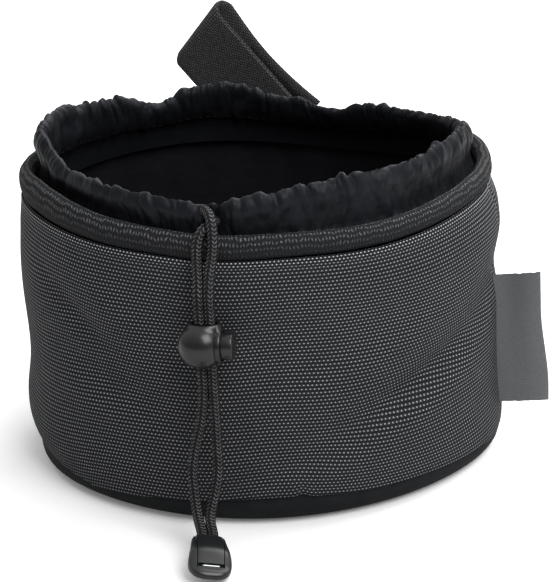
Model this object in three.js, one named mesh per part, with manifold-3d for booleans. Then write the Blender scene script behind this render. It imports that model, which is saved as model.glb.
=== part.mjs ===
// A round peg bag: dotted wall, webbing rim, drawstring collar, cord lock, cord end and hanging strap.
// Millimetres, +Z up. The origin is the middle of the base on the floor. The drawstring leaves at the front
// (-Y), the label is on the right (+X), and the hanging strap is on the back (+Y).
import * as THREE from "three";
import { mergeVertices } from "three/addons/utils/BufferGeometryUtils.js";
import Module from "manifold-3d";

const wasm = await Module();
wasm.setup();

// Driving dimensions of the bag
const BODY_RADIUS = 96; // outside of the dotted wall
const BODY_HEIGHT = 109; // floor to the seam under the rim band
const BASE_CORNER = 10; // outside radius where the base turns up
const BASE_TURN_UP = 10.6; // height of the base panel's turned-up edge
const BASE_CLOTH = 1.6; // coated base cloth
const WALL_CLOTH = 1.2; // dotted wall cloth
const LINING_CLOTH = 0.8;
const BOARD_THICKNESS = 2; // stiffener under the base lining
const BOARD_MARGIN = 12; // from the wall's outside to the board's edge
const SEAM_GAP = 0.3; // clearance between pieces that touch
const ROUND_STEPS = 48; // facets round the bag
const CORNER_STEPS = 4; // facets round a corner
const FULL_TURN = 2 * Math.PI;
const QUARTER_TURN = Math.PI / 2;

// Rim band and collar
const BAND_HEIGHT = 9.4; // webbing that shows above the wall
const BAND_THICKNESS = 2;
const BAND_BULGE = 2.6; // how far the band's middle swells outwards
const COLLAR_CLOTH = 0.9;
const COLLAR_FLANGE = 7; // collar edge sewn inside the lining
const COLLAR_LEAN = 5.6; // how far the collar leans in over the band
const CASING_WIDTH = 8.2; // outside of the drawstring casing, across
const CASING_DEPTH = 14.4; // outside of the drawstring casing, up
const CASING_STEPS = 12;
const EXIT_WIDTH = 12; // slit in the casing where the drawstring comes out
const EXIT_DROP = 3; // how far the cords pull the rim down at the slit
const EXIT_DROP_SPREAD = 0.38; // radians to each side over which the rim comes up again

// Drawstring
const CORD_DIAMETER = 3.8;
const CORD_SIDES = 8;
const CORD_PITCH = 4; // between the two strands, side by side in the lock
const CORD_STAND_OFF = 9.2; // wall to the middle of the straight strands
const CORD_STEP = 8; // length of one facet along a cord
const LOOP_POINTS = 36;
const LOOP_OVERLAP = 0.6; // the loop stops this far inside each end of the casing
const LOOP_LIFT = 1.9; // the left end of the loop sits this much above the middle, the right end below
const STRAND_GAP = 0.6; // between an end of the loop and the strand that carries it on

// Cord lock, with its press button to the right
const LOCK_HEIGHT = 79.5; // middle of the ball above the floor
const LOCK_RADIUS = 8.75;
const LOCK_FACETS = 24;
const LOCK_OFFSET = 1.8; // ball middle to the middle of the cords
const LOCK_NECK = 7; // outside radius of the neck round the button
const LOCK_NECK_END = 7.4; // ball middle to the end of the neck
const LOCK_CAP = 7.8; // ball middle to the flats where the cords pass
const LOCK_BORE = 5.6; // radius
const LOCK_BORE_END = 3.9; // ball middle to the end of the bore, away from the button
const SPRING_POCKET = 4.3; // radius
const SPRING_POCKET_END = 6.9;
const BUTTON_RADIUS = 5.4;
const BUTTON_OUT = 12.3; // ball middle to the button's face
const BUTTON_START = 7.9;
const BUTTON_EDGE = 0.8; // rounded edge of the button
const STEM_RADIUS = 5.1;
const STEM_START = 1.6; // ball middle to the stem's inner step
const STEM_NOSE_RADIUS = 3.9;
const NOSE_WALL = 1.1; // plunger wall between the spring and the cords
const PRESS_TRAVEL = 1.8;
const SPRING_WIRE = 0.45;
const SPRING_SEAT = 0.15; // clearance at each end of the spring
const SPRING_TURNS = 2.5;
const SPRING_STEPS = 8; // facets in one curl
const SPRING_SIDES = 5;
const SPRING_SMALL = 2.4; // middle of the wire at the plunger
const SPRING_LARGE = 3.5; // middle of the wire at the end of the pocket

// Cord end, lying on the floor in front of the bag
const END_LENGTH = 21;
const END_HALF_WIDTH = 8.1;
const END_MOUTH_HALF_WIDTH = 6.2;
const END_SHOULDER = 2; // mouth to the shoulders that it widens over
const END_WIDEST = 13; // mouth to the widest place
const END_NOSE_TURN = 18; // mouth to where the sides turn in to the nose
const END_NOSE_HALF_WIDTH = 4.9; // blunt front of the nose
const END_MOUTH_HEIGHT = 7;
const END_RIDGE_HEIGHT = 8.4;
const END_RIDGE = 9.2; // mouth to the ridge of the cover
const END_NOSE_HEIGHT = 5.6; // where the cover stops
const END_EDGE = 2; // rounding of its edges, seen from the side
const END_STOP = 17.2; // mouth to the foot of the cover's slope
const END_PITCH = THREE.MathUtils.degToRad(12);
const END_YAW = THREE.MathUtils.degToRad(-75);
const END_ROLL = THREE.MathUtils.degToRad(-11); // its right side lies lower
const END_PLACE = new THREE.Vector3(0.3, -123.8, 5.2); // underside of the mouth
const END_CORD_HEIGHT = 3.9; // cords above the underside
const END_CORD_SPACING = 4.4;
const END_HOLE = 2.2; // radius of each cord hole
const COVER_HALF_WIDTH = 4.9;
const COVER_HINGE = 15; // mouth to the cover's hinge line
const COVER_UNDERSIDE = 4.1;
const COVER_END_CLEARANCE = 1.9; // hinge line to the end of the cover's opening
const SLIT_HALF_WIDTH = 3.4; // open slit between cover and nose
const COVER_NOSE = 0.5; // the cover's end past its hinge line
const KNOT_LENGTH = 8;
const KNOT_WIDTH = 6.6;
const KNOT_HEIGHT = 4.2;
const KNOT_PLACE = 9.7; // mouth to the knot's middle

// Label sewn into the right side
const LABEL_WIDTH = 20;
const LABEL_HEIGHT = 54.5;
const LABEL_BOTTOM = 17;
const LABEL_THICKNESS = 1.2;
const LABEL_WAVE = 1.1; // sideways swing of its S-curve
const LABEL_EDGE = 0.4; // share of the thickness left at its rounded edges
const LABEL_STEPS = 8;

// Hanging strap: a sewn tab, a leg that leans to the left, and a flap folded over behind it
const STRAP_WIDTH = 30;
const STRAP_THICKNESS = 1.8;
const STRAP_TAB_BOTTOM = 65;
const STRAP_TAB_TOP = 81;
const STRAP_BEND = 25; // middle radius of the bend that starts the lean
const STRAP_LEAN = THREE.MathUtils.degToRad(38);
const STRAP_LEG = 60.5; // from the bend to the fold
const STRAP_BEND_STEPS = 6;
const FOLD_SLANT = Math.tan(THREE.MathUtils.degToRad(10.6)); // the fold climbs this much towards the right
const FOLD_OVERLAP = 0.02; // the leg runs this far into the fold, to join it
const FOLD_GAP = 5.6; // inside of the folded loop
const FOLD_STEPS = 10;
const FLAP_LENGTH = 52;
const FLAP_SHIFT = 4; // the flap lies this far to the right of the leg at the fold
const FLAP_SKEW = 3; // and this much further at its end
const FLAP_CLOSING = 1.9; // the flap's end comes this much nearer to the leg
const TAPE_THICKNESS = 1.2; // hook tape and loop tape
const TAPE_WIDTH = 24;
const TAPE_LENGTH = 30;
const TAPE_SEAT = 0.15; // clearance under each tape
const TAPE_END_MARGIN = 4; // flap end to the tapes

// Derived places
const CORD_RADIUS = CORD_DIAMETER / 2;
const LINING_OUTSIDE = BODY_RADIUS - BASE_CLOTH - SEAM_GAP;
const LINING_INSIDE = LINING_OUTSIDE - LINING_CLOTH;
const FLANGE_MIDDLE = LINING_INSIDE - SEAM_GAP - COLLAR_CLOTH / 2;
const BAND_BOTTOM = BODY_HEIGHT + SEAM_GAP;
const BAND_TOP = BAND_BOTTOM + BAND_HEIGHT;
const CASING_MIDDLE_HEIGHT = BAND_TOP + CASING_DEPTH / 2 - COLLAR_CLOTH / 2;
const CASING_MIDDLE_RADIUS = FLANGE_MIDDLE - COLLAR_LEAN;
const RIM_HEIGHT = CASING_MIDDLE_HEIGHT + CASING_DEPTH / 2;
const CORD_FRONT = -(BODY_RADIUS + CORD_STAND_OFF);
const LEG_INSIDE = BODY_RADIUS + SEAM_GAP; // inner face of the strap
const LEG_MIDDLE = LEG_INSIDE + STRAP_THICKNESS / 2;

// Shape helpers

// A profile of [radius, height] pairs turned about the bag's axis; angle 0 is the front, going towards +X.
function revolve(profile, steps = ROUND_STEPS) {
  const points = profile.map(([radius, height]) => new THREE.Vector2(radius, height));
  return new THREE.LatheGeometry(points, steps).rotateX(QUARTER_TURN);
}

function closed(profile) {
  return [...profile, profile[0]];
}

// Points of an arc in a profile, from one angle to another.
function arcPoints(middle, radius, from, to, steps) {
  const points = [];
  for (let i = 0; i <= steps; i += 1) {
    const angle = from + ((to - from) * i) / steps;
    points.push([middle[0] + radius * Math.cos(angle), middle[1] + radius * Math.sin(angle)]);
  }
  return points;
}

function ellipsePoints(middle, halfWidth, halfHeight, steps) {
  const points = [];
  for (let i = 0; i < steps; i += 1) {
    const angle = (FULL_TURN * i) / steps;
    points.push([middle[0] + halfWidth * Math.cos(angle), middle[1] + halfHeight * Math.sin(angle)]);
  }
  return points;
}

function shapeOf(points) {
  return new THREE.Shape(points.map(([x, y]) => new THREE.Vector2(x, y)));
}

function circleShape(radius, sides) {
  return shapeOf(ellipsePoints([0, 0], radius, radius, sides));
}

// A flat shape given thickness along +Z from z = 0.
function plate(shape, thickness, curveSegments = CORNER_STEPS) {
  return new THREE.ExtrudeGeometry(shape, { depth: thickness, bevelEnabled: false, curveSegments });
}

function smoothLine(points) {
  return new THREE.CatmullRomCurve3(points, false, "centripetal");
}

// A round tube along a path.
function tube(path, radius, sides, steps) {
  const section = circleShape(radius, sides);
  return new THREE.ExtrudeGeometry(section, { steps, extrudePath: path, bevelEnabled: false });
}

function cord(points, step) {
  const path = smoothLine(points);
  return tube(path, CORD_RADIUS, CORD_SIDES, Math.ceil(path.getLength() / step));
}

// Moves every vertex of a geometry by a function of its place.
function reshape(geometry, move) {
  const position = geometry.getAttribute("position");
  const point = new THREE.Vector3();
  for (let i = 0; i < position.count; i += 1) {
    point.fromBufferAttribute(position, i);
    move(point);
    position.setXYZ(i, point.x, point.y, point.z);
  }
  return geometry;
}

function solidOf(geometry) {
  const bare = geometry.clone();
  bare.deleteAttribute("normal");
  bare.deleteAttribute("uv");
  const merged = mergeVertices(bare);
  const vertProperties = new Float32Array(merged.getAttribute("position").array);
  const triVerts = new Uint32Array(merged.index.array);
  return new wasm.Manifold(new wasm.Mesh({ numProp: 3, vertProperties, triVerts }));
}

function geometryOf(solid) {
  const mesh = solid.getMesh();
  const geometry = new THREE.BufferGeometry();
  geometry.setAttribute("position", new THREE.BufferAttribute(mesh.vertProperties, 3));
  geometry.setIndex(new THREE.BufferAttribute(mesh.triVerts, 1));
  geometry.computeVertexNormals();
  return geometry;
}

function cut(geometry, ...tools) {
  const solid = tools.reduce((left, tool) => left.subtract(solidOf(tool)), solidOf(geometry));
  return geometryOf(solid);
}

function join(geometry, ...others) {
  const solid = others.reduce((made, other) => made.add(solidOf(other)), solidOf(geometry));
  return geometryOf(solid);
}

function common(geometry, other) {
  return geometryOf(solidOf(geometry).intersect(solidOf(other)));
}

function boxBetween(low, high) {
  const size = high.map((value, i) => value - low[i]);
  const middle = high.map((value, i) => (value + low[i]) / 2);
  return new THREE.BoxGeometry(...size).translate(...middle);
}

// A round bar along +X between two places.
function barAlongX(radius, from, to, sides = 24) {
  const length = to - from;
  const bar = new THREE.CylinderGeometry(radius, radius, length, sides);
  return bar.rotateZ(QUARTER_TURN).translate(from + length / 2, 0, 0);
}

const bag = new THREE.Group();

function addPiece(parent, name, geometry, color, roughness, metalness = 0) {
  const mesh = new THREE.Mesh(geometry, new THREE.MeshStandardMaterial({ color, roughness, metalness }));
  mesh.name = name;
  parent.add(mesh);
}

// Base panel: a shallow dish whose rounded edge turns up to the wall
function basePanel() {
  const middle = [BODY_RADIUS - BASE_CORNER, BASE_CORNER];
  const inside = BODY_RADIUS - BASE_CLOTH;
  return revolve([
    [0, 0],
    ...arcPoints(middle, BASE_CORNER, -QUARTER_TURN, 0, CORNER_STEPS),
    [BODY_RADIUS, BASE_TURN_UP],
    [inside, BASE_TURN_UP],
    ...arcPoints(middle, BASE_CORNER - BASE_CLOTH, 0, -QUARTER_TURN, CORNER_STEPS),
    [0, BASE_CLOTH],
  ]);
}

const BOARD_BOTTOM = BASE_CLOTH + SEAM_GAP;
const BOARD_TOP = BOARD_BOTTOM + BOARD_THICKNESS;
const BOARD_RADIUS = BODY_RADIUS - BOARD_MARGIN;

function baseBoard() {
  return revolve([
    [0, BOARD_BOTTOM],
    [BOARD_RADIUS, BOARD_BOTTOM],
    [BOARD_RADIUS, BOARD_TOP],
    [0, BOARD_TOP],
  ]);
}

// Base lining: lies on the board and rises to the foot of the wall lining
function baseLining() {
  const bottom = BOARD_TOP + SEAM_GAP;
  const edge = LINING_INSIDE - SEAM_GAP;
  const turn = edge - BOARD_RADIUS;
  const rise = Math.max(BASE_CORNER - bottom, LINING_CLOTH);
  const arc = (width, height, from, to) => {
    const unit = arcPoints([0, 0], 1, from, to, CORNER_STEPS);
    return unit.map(([x, y]) => [BOARD_RADIUS + x * width, bottom + rise + y * height]);
  };
  return revolve([
    [0, bottom],
    ...arc(turn, rise, -QUARTER_TURN, 0),
    ...arc(turn - LINING_CLOTH, rise - LINING_CLOTH, 0, -QUARTER_TURN),
    [0, bottom + LINING_CLOTH],
  ]);
}

function ringWall(inside, outside, bottom, top) {
  return revolve(closed([[inside, bottom], [outside, bottom], [outside, top], [inside, top]]));
}

function bodyPanel() {
  return ringWall(BODY_RADIUS - WALL_CLOTH, BODY_RADIUS, BASE_TURN_UP + SEAM_GAP, BODY_HEIGHT);
}

function bodyLining() {
  return ringWall(LINING_INSIDE, LINING_OUTSIDE, BASE_CORNER + SEAM_GAP, BODY_HEIGHT);
}

// The collar's middle line above its flange leans in a straight line to the casing.
function collarRadiusAt(height) {
  const share = (height - BODY_HEIGHT) / (CASING_MIDDLE_HEIGHT - BODY_HEIGHT);
  return FLANGE_MIDDLE - COLLAR_LEAN * Math.max(share, 0);
}

// Rim band: webbing that swells outwards between the wall's top and the casing
function rimBand() {
  const backing = COLLAR_CLOTH / 2 + 2 * SEAM_GAP;
  const inner = (height) => collarRadiusAt(height) + backing;
  const swell = arcPoints([0, 0], 1, -QUARTER_TURN, QUARTER_TURN, 2 * CORNER_STEPS);
  const outer = swell.map(([out, up]) => {
    const height = BAND_BOTTOM + (BAND_HEIGHT * (up + 1)) / 2;
    return [inner(height) + BAND_THICKNESS / 2 + BAND_BULGE * out, height];
  });
  return revolve(closed([[inner(BAND_BOTTOM), BAND_BOTTOM], ...outer, [inner(BAND_TOP), BAND_TOP]]));
}

// The weight of the cords pulls the collar down round the slit, more towards the rim.
function dropAtExit(point) {
  const fromFront = Math.atan2(point.x, -point.y);
  const share = THREE.MathUtils.clamp((point.z - BAND_TOP) / (RIM_HEIGHT - BAND_TOP), 0, 1);
  point.z -= EXIT_DROP * share * Math.exp(-((fromFront / EXIT_DROP_SPREAD) ** 2));
}

// Collar: a sewn flange, a leaning wall and a hollow casing, slit at the front
function collar() {
  const half = COLLAR_CLOTH / 2;
  const meet = CASING_MIDDLE_HEIGHT - CASING_DEPTH / 2 + 2 * COLLAR_CLOTH;
  const flangeBottom = BODY_HEIGHT - COLLAR_FLANGE;
  const wall = revolve(
    closed([
      [FLANGE_MIDDLE + half, flangeBottom],
      [FLANGE_MIDDLE + half, BODY_HEIGHT],
      [collarRadiusAt(meet) + half, meet],
      [CASING_MIDDLE_RADIUS, meet],
      [FLANGE_MIDDLE - half, BODY_HEIGHT],
      [FLANGE_MIDDLE - half, flangeBottom],
    ]),
  );
  const middle = [CASING_MIDDLE_RADIUS, CASING_MIDDLE_HEIGHT];
  const halfWidth = CASING_WIDTH / 2;
  const halfDepth = CASING_DEPTH / 2;
  const casing = revolve(closed(ellipsePoints(middle, halfWidth, halfDepth, CASING_STEPS)));
  const channel = revolve(
    closed(ellipsePoints(middle, halfWidth - COLLAR_CLOTH, halfDepth - COLLAR_CLOTH, CASING_STEPS)),
  );
  const slitBack = CASING_MIDDLE_RADIUS - CORD_RADIUS - SEAM_GAP;
  const slitBottom = CASING_MIDDLE_HEIGHT - halfDepth + COLLAR_CLOTH / 2;
  const slit = boxBetween(
    [-EXIT_WIDTH / 2, -BODY_RADIUS, slitBottom],
    [EXIT_WIDTH / 2, -slitBack, RIM_HEIGHT + CASING_DEPTH],
  );
  return reshape(cut(join(wall, casing), channel, slit), dropAtExit);
}

// Middle line of the drawstring in the casing; its left end sits high at the slit and its right end low.
function loopPoint(angle) {
  const nearExit = Math.exp(-((angle / EXIT_DROP_SPREAD) ** 2));
  const point = new THREE.Vector3(
    CASING_MIDDLE_RADIUS * Math.sin(angle),
    -CASING_MIDDLE_RADIUS * Math.cos(angle),
    CASING_MIDDLE_HEIGHT - Math.sign(angle) * LOOP_LIFT * nearExit,
  );
  dropAtExit(point);
  return point;
}

const LOOP_END_ANGLE = Math.asin((EXIT_WIDTH / 2 + LOOP_OVERLAP) / CASING_MIDDLE_RADIUS);

function drawstringLoop() {
  const points = [];
  for (let i = 0; i <= LOOP_POINTS; i += 1) {
    const turned = LOOP_END_ANGLE + ((FULL_TURN - 2 * LOOP_END_ANGLE) * i) / LOOP_POINTS;
    const fromFront = turned > Math.PI ? turned - FULL_TURN : turned;
    points.push(loopPoint(fromFront));
  }
  return cord(points, CORD_STEP);
}

// Placement of the cord end: length along x from its mouth, width along y, thickness along z
const cordEnd = new THREE.Group();
cordEnd.position.copy(END_PLACE);
cordEnd.rotation.set(END_ROLL, END_PITCH, END_YAW, "ZYX");
cordEnd.updateMatrix();

function inCordEnd(x, y, z) {
  return new THREE.Vector3(x, y, z).applyMatrix4(cordEnd.matrix);
}

// A place in front of the wall: sideways, out from the wall and up from a given level.
function beforeWall(sideways, out, height) {
  return new THREE.Vector3(sideways, -(BODY_RADIUS + out), height);
}

const STRAND_END = KNOT_PLACE - KNOT_LENGTH / 2 - SEAM_GAP;

// The free strands cross at the slit, drape over the band and run side by side through the lock. They part
// below it, before the cord end gathers them again.
function rightStrand() {
  const half = CORD_PITCH / 2;
  const start = loopPoint(-LOOP_END_ANGLE);
  start.x += STRAND_GAP;
  return [
    start,
    beforeWall(-3.1, -8.9, BODY_HEIGHT + 16.8),
    beforeWall(-0.2, -5.8, BODY_HEIGHT + 16.6),
    beforeWall(1.8, -2, BODY_HEIGHT + 14.3),
    beforeWall(2.7, 0.7, BODY_HEIGHT + 9.6),
    beforeWall(2.8, 2.5, BODY_HEIGHT + 5),
    beforeWall(2.5, 4.7, BODY_HEIGHT + 0.5),
    beforeWall(2.1, 7.3, BODY_HEIGHT - 4.2),
    beforeWall(half, CORD_STAND_OFF, BODY_HEIGHT - 9),
    beforeWall(half, CORD_STAND_OFF, LOCK_HEIGHT + 9),
    beforeWall(half, CORD_STAND_OFF, LOCK_HEIGHT),
    beforeWall(half, CORD_STAND_OFF, LOCK_HEIGHT - 9),
    beforeWall(half, CORD_STAND_OFF, LOCK_HEIGHT - 19),
    beforeWall(half + 0.2, CORD_STAND_OFF + 0.3, 50),
    beforeWall(2.4, 10.4, 40),
    beforeWall(2.7, 12, 30),
    beforeWall(1.5, 13.7, 22.5),
    beforeWall(0.4, 15.8, 17),
    beforeWall(0.5, 19, 12.8),
    inCordEnd(-4, END_CORD_SPACING / 2, END_CORD_HEIGHT + 0.3),
    inCordEnd(0, END_CORD_SPACING / 2, END_CORD_HEIGHT),
    inCordEnd(STRAND_END, END_CORD_SPACING / 2, END_CORD_HEIGHT),
  ];
}

function leftStrand() {
  const half = CORD_PITCH / 2;
  const start = loopPoint(LOOP_END_ANGLE);
  start.x -= STRAND_GAP;
  return [
    start,
    beforeWall(3.2, -8.9, BODY_HEIGHT + 13.2),
    beforeWall(0.6, -6, BODY_HEIGHT + 11.9),
    beforeWall(-1.8, -1.4, BODY_HEIGHT + 10.8),
    beforeWall(-3.1, 1.2, BODY_HEIGHT + 7.4),
    beforeWall(-3.2, 2.9, BODY_HEIGHT + 2.4),
    beforeWall(-2.8, 5, BODY_HEIGHT - 1.6),
    beforeWall(-2.2, 7.5, BODY_HEIGHT - 5.4),
    beforeWall(-half, CORD_STAND_OFF, BODY_HEIGHT - 9.6),
    beforeWall(-half, CORD_STAND_OFF, LOCK_HEIGHT + 9),
    beforeWall(-half, CORD_STAND_OFF, LOCK_HEIGHT),
    beforeWall(-half, CORD_STAND_OFF, LOCK_HEIGHT - 9),
    beforeWall(-half, CORD_STAND_OFF, LOCK_HEIGHT - 19),
    beforeWall(-half - 1.2, CORD_STAND_OFF + 0.3, 50),
    beforeWall(-5.6, 10.4, 40),
    beforeWall(-7.1, 12, 30),
    beforeWall(-6.4, 13.9, 22.5),
    beforeWall(-5.4, 16.3, 17),
    beforeWall(-4, 19.8, 13),
    inCordEnd(-4, -END_CORD_SPACING / 2, END_CORD_HEIGHT + 0.3),
    inCordEnd(0, -END_CORD_SPACING / 2, END_CORD_HEIGHT),
    inCordEnd(STRAND_END, -END_CORD_SPACING / 2, END_CORD_HEIGHT),
  ];
}

// Cord lock: built about the middle of its ball, with the button towards +X
const lock = new THREE.Group();
lock.position.set(-LOCK_OFFSET, CORD_FRONT, LOCK_HEIGHT);

// An upright slot with round ends that lets both strands through.
function cordSlot(left, right, halfWidth, reach) {
  const outline = new THREE.Shape();
  outline.absarc(left + halfWidth, 0, halfWidth, QUARTER_TURN, 3 * QUARTER_TURN);
  outline.absarc(right - halfWidth, 0, halfWidth, -QUARTER_TURN, QUARTER_TURN);
  return plate(outline, 2 * reach, 2 * CORNER_STEPS).translate(0, 0, -reach);
}

const STRANDS_LEFT = LOCK_OFFSET - CORD_PITCH / 2 - CORD_RADIUS;
const STRANDS_RIGHT = LOCK_OFFSET + CORD_PITCH / 2 + CORD_RADIUS;
const SLOT_HALF_WIDTH = CORD_RADIUS + SEAM_GAP;

function lockBody() {
  const ball = new THREE.SphereGeometry(LOCK_RADIUS, LOCK_FACETS, LOCK_FACETS / 2).rotateX(QUARTER_TURN);
  const reach = 2 * LOCK_RADIUS;
  const kept = boxBetween([-reach, -reach, -LOCK_CAP], [LOCK_NECK_END, reach, LOCK_CAP]);
  const neck = barAlongX(LOCK_NECK, 0, LOCK_NECK_END);
  const bore = barAlongX(LOCK_BORE, -LOCK_BORE_END, reach);
  const pocket = barAlongX(SPRING_POCKET, -SPRING_POCKET_END, reach);
  const slot = cordSlot(STRANDS_LEFT - SEAM_GAP, STRANDS_RIGHT + SEAM_GAP, SLOT_HALF_WIDTH, reach);
  return cut(join(common(ball, kept), neck), bore, pocket, slot);
}

// Plunger: nose, stem and button in one, with a window that clears the cords through its whole travel
const NOSE_START = STRANDS_LEFT - SEAM_GAP - NOSE_WALL;

function lockPlunger() {
  const edge = [BUTTON_RADIUS - BUTTON_EDGE, BUTTON_OUT - BUTTON_EDGE];
  const profile = [
    [0, NOSE_START],
    [STEM_NOSE_RADIUS, NOSE_START],
    [STEM_NOSE_RADIUS, -STEM_START],
    [STEM_RADIUS, -STEM_START],
    [STEM_RADIUS, BUTTON_START],
    [BUTTON_RADIUS, BUTTON_START],
    ...arcPoints(edge, BUTTON_EDGE, 0, QUARTER_TURN, CORNER_STEPS),
    [0, BUTTON_OUT],
  ];
  const turned = revolve(profile, LOCK_FACETS).rotateY(QUARTER_TURN);
  const windowRight = STRANDS_RIGHT + SEAM_GAP + PRESS_TRAVEL;
  const opening = cordSlot(STRANDS_LEFT - SEAM_GAP, windowRight, SLOT_HALF_WIDTH, 2 * STEM_RADIUS);
  return cut(turned, opening);
}

// Spring: one coned wire between the end of the pocket and the nose
function springLine() {
  const start = -SPRING_POCKET_END + SPRING_WIRE / 2 + SPRING_SEAT;
  const end = NOSE_START - SPRING_WIRE / 2 - SPRING_SEAT;
  const points = [];
  const count = Math.round(SPRING_TURNS * SPRING_STEPS);
  for (let i = 0; i <= count; i += 1) {
    const share = i / count;
    const angle = FULL_TURN * SPRING_TURNS * share;
    const radius = SPRING_LARGE + (SPRING_SMALL - SPRING_LARGE) * share;
    const along = start + (end - start) * share;
    points.push(new THREE.Vector3(along, radius * Math.cos(angle), radius * Math.sin(angle)));
  }
  return points;
}

// Least clear gap between points of the wire that are at least half a curl apart.
function leastGap(points, wire) {
  let least = Infinity;
  points.forEach((point, i) => {
    points.slice(i + SPRING_STEPS / 2).forEach((other) => {
      least = Math.min(least, point.distanceTo(other));
    });
  });
  return least - wire;
}

function lockSpring() {
  const points = springLine();
  console.log("lock spring: least gap between curls " + leastGap(points, SPRING_WIRE).toFixed(2) + " mm");
  return tube(smoothLine(points), SPRING_WIRE / 2, SPRING_SIDES, points.length - 1);
}

// Cord end: the common part of its plan and its side view, opened for the cover, the knot and the cords
function cordEndBlock() {
  const width = END_HALF_WIDTH;
  const nose = END_NOSE_HALF_WIDTH;
  const plan = new THREE.Shape();
  plan.moveTo(0, -END_MOUTH_HALF_WIDTH);
  plan.quadraticCurveTo(END_SHOULDER, -width, END_WIDEST, -width);
  plan.bezierCurveTo(END_NOSE_TURN, -width, END_LENGTH, -nose, END_LENGTH, 0);
  plan.bezierCurveTo(END_LENGTH, nose, END_NOSE_TURN, width, END_WIDEST, width);
  plan.quadraticCurveTo(END_SHOULDER, width, 0, END_MOUTH_HALF_WIDTH);
  const side = new THREE.Shape();
  side.moveTo(0, END_EDGE);
  side.quadraticCurveTo(0, 0, END_EDGE, 0);
  side.lineTo(END_LENGTH - 2 * END_EDGE, 0);
  side.quadraticCurveTo(END_LENGTH, 0, END_LENGTH, 2 * END_EDGE);
  side.quadraticCurveTo(END_LENGTH, END_NOSE_HEIGHT, END_STOP, END_NOSE_HEIGHT);
  side.quadraticCurveTo(END_RIDGE + END_EDGE, END_RIDGE_HEIGHT, END_RIDGE, END_RIDGE_HEIGHT);
  side.quadraticCurveTo(END_RIDGE - 2 * END_EDGE, END_RIDGE_HEIGHT, 0, END_MOUTH_HEIGHT);
  const tall = plate(plan, 2 * END_RIDGE_HEIGHT).translate(0, 0, -END_RIDGE_HEIGHT / 2);
  const wide = plate(side, 4 * width).rotateX(QUARTER_TURN).translate(0, 2 * width, 0);
  return common(tall, wide);
}

function knotShape(clearance) {
  const half = [KNOT_LENGTH / 2 + clearance, KNOT_WIDTH / 2 + clearance, KNOT_HEIGHT / 2 + clearance];
  return new THREE.SphereGeometry(1, 16, 10).scale(...half).translate(KNOT_PLACE, 0, END_CORD_HEIGHT);
}

function cordHoles() {
  const length = KNOT_PLACE + END_HOLE;
  return [-1, 1].map((side) =>
    barAlongX(END_HOLE, -END_HOLE, length, 16).translate(0, (side * END_CORD_SPACING) / 2, END_CORD_HEIGHT),
  );
}

function coverSpace(clearance) {
  const half = COVER_HALF_WIDTH + clearance;
  const past = clearance > 0 ? COVER_END_CLEARANCE : COVER_NOSE;
  return boxBetween(
    [-END_LENGTH, -half, COVER_UNDERSIDE - clearance],
    [COVER_HINGE + past, half, 2 * END_RIDGE_HEIGHT],
  );
}

function cordEndBody() {
  const openGap = boxBetween(
    [COVER_HINGE + COVER_NOSE + SEAM_GAP, -SLIT_HALF_WIDTH, -END_LENGTH],
    [COVER_HINGE + COVER_END_CLEARANCE, SLIT_HALF_WIDTH, END_LENGTH],
  );
  return cut(cordEndBlock(), coverSpace(SEAM_GAP), knotShape(SEAM_GAP), openGap, ...cordHoles());
}

function cordEndCover() {
  return cut(common(cordEndBlock(), coverSpace(0)), knotShape(SEAM_GAP), ...cordHoles());
}

// Label: a folded tape that stands out from the right side seam in a shallow S
function sideLabel() {
  const outline = [];
  const back = [];
  for (let i = 0; i <= LABEL_STEPS; i += 1) {
    const share = i / LABEL_STEPS;
    const out = BODY_RADIUS + SEAM_GAP + LABEL_WIDTH * share;
    const swing = LABEL_WAVE * Math.sin(FULL_TURN * share) * share;
    const atEdge = i === 0 || i === LABEL_STEPS;
    const half = (LABEL_THICKNESS / 2) * (atEdge ? LABEL_EDGE : 1);
    outline.push([out, swing - half]);
    back.unshift([out, swing + half]);
  }
  return plate(shapeOf([...outline, ...back]), LABEL_HEIGHT).translate(0, 0, LABEL_BOTTOM);
}

// Strap tab: the end that is sewn flat on the back of the wall
function strapTab() {
  const half = STRAP_WIDTH / 2;
  const outside = LEG_INSIDE + STRAP_THICKNESS;
  return boxBetween([-half, LEG_INSIDE, STRAP_TAB_BOTTOM], [half, outside, STRAP_TAB_TOP]);
}

// Directions of the leaning strap: along it towards the fold, and across it to the right
const STRAP_ALONG = new THREE.Vector3(-Math.sin(STRAP_LEAN), 0, Math.cos(STRAP_LEAN));
const STRAP_ACROSS = new THREE.Vector3(Math.cos(STRAP_LEAN), 0, Math.sin(STRAP_LEAN));
const STRAP_INWARDS = new THREE.Vector3(0, -1, 0);
const LEG_START = STRAP_TAB_TOP + SEAM_GAP;
const BEND_MIDDLE = new THREE.Vector3(-STRAP_BEND, LEG_MIDDLE, LEG_START);
const FOLD_PLACE = BEND_MIDDLE.clone()
  .addScaledVector(STRAP_ACROSS, STRAP_BEND)
  .addScaledVector(STRAP_ALONG, STRAP_LEG);

// Places a geometry made with x across the strap, y along it from the fold and z towards the bag.
function onStrap(geometry) {
  const turn = new THREE.Matrix4().makeBasis(STRAP_ACROSS, STRAP_ALONG, STRAP_INWARDS);
  return geometry.applyMatrix4(turn).translate(FOLD_PLACE.x, FOLD_PLACE.y, FOLD_PLACE.z);
}

const FOLD_RADIUS = (FOLD_GAP + STRAP_THICKNESS) / 2; // middle of the cloth round the fold

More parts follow.
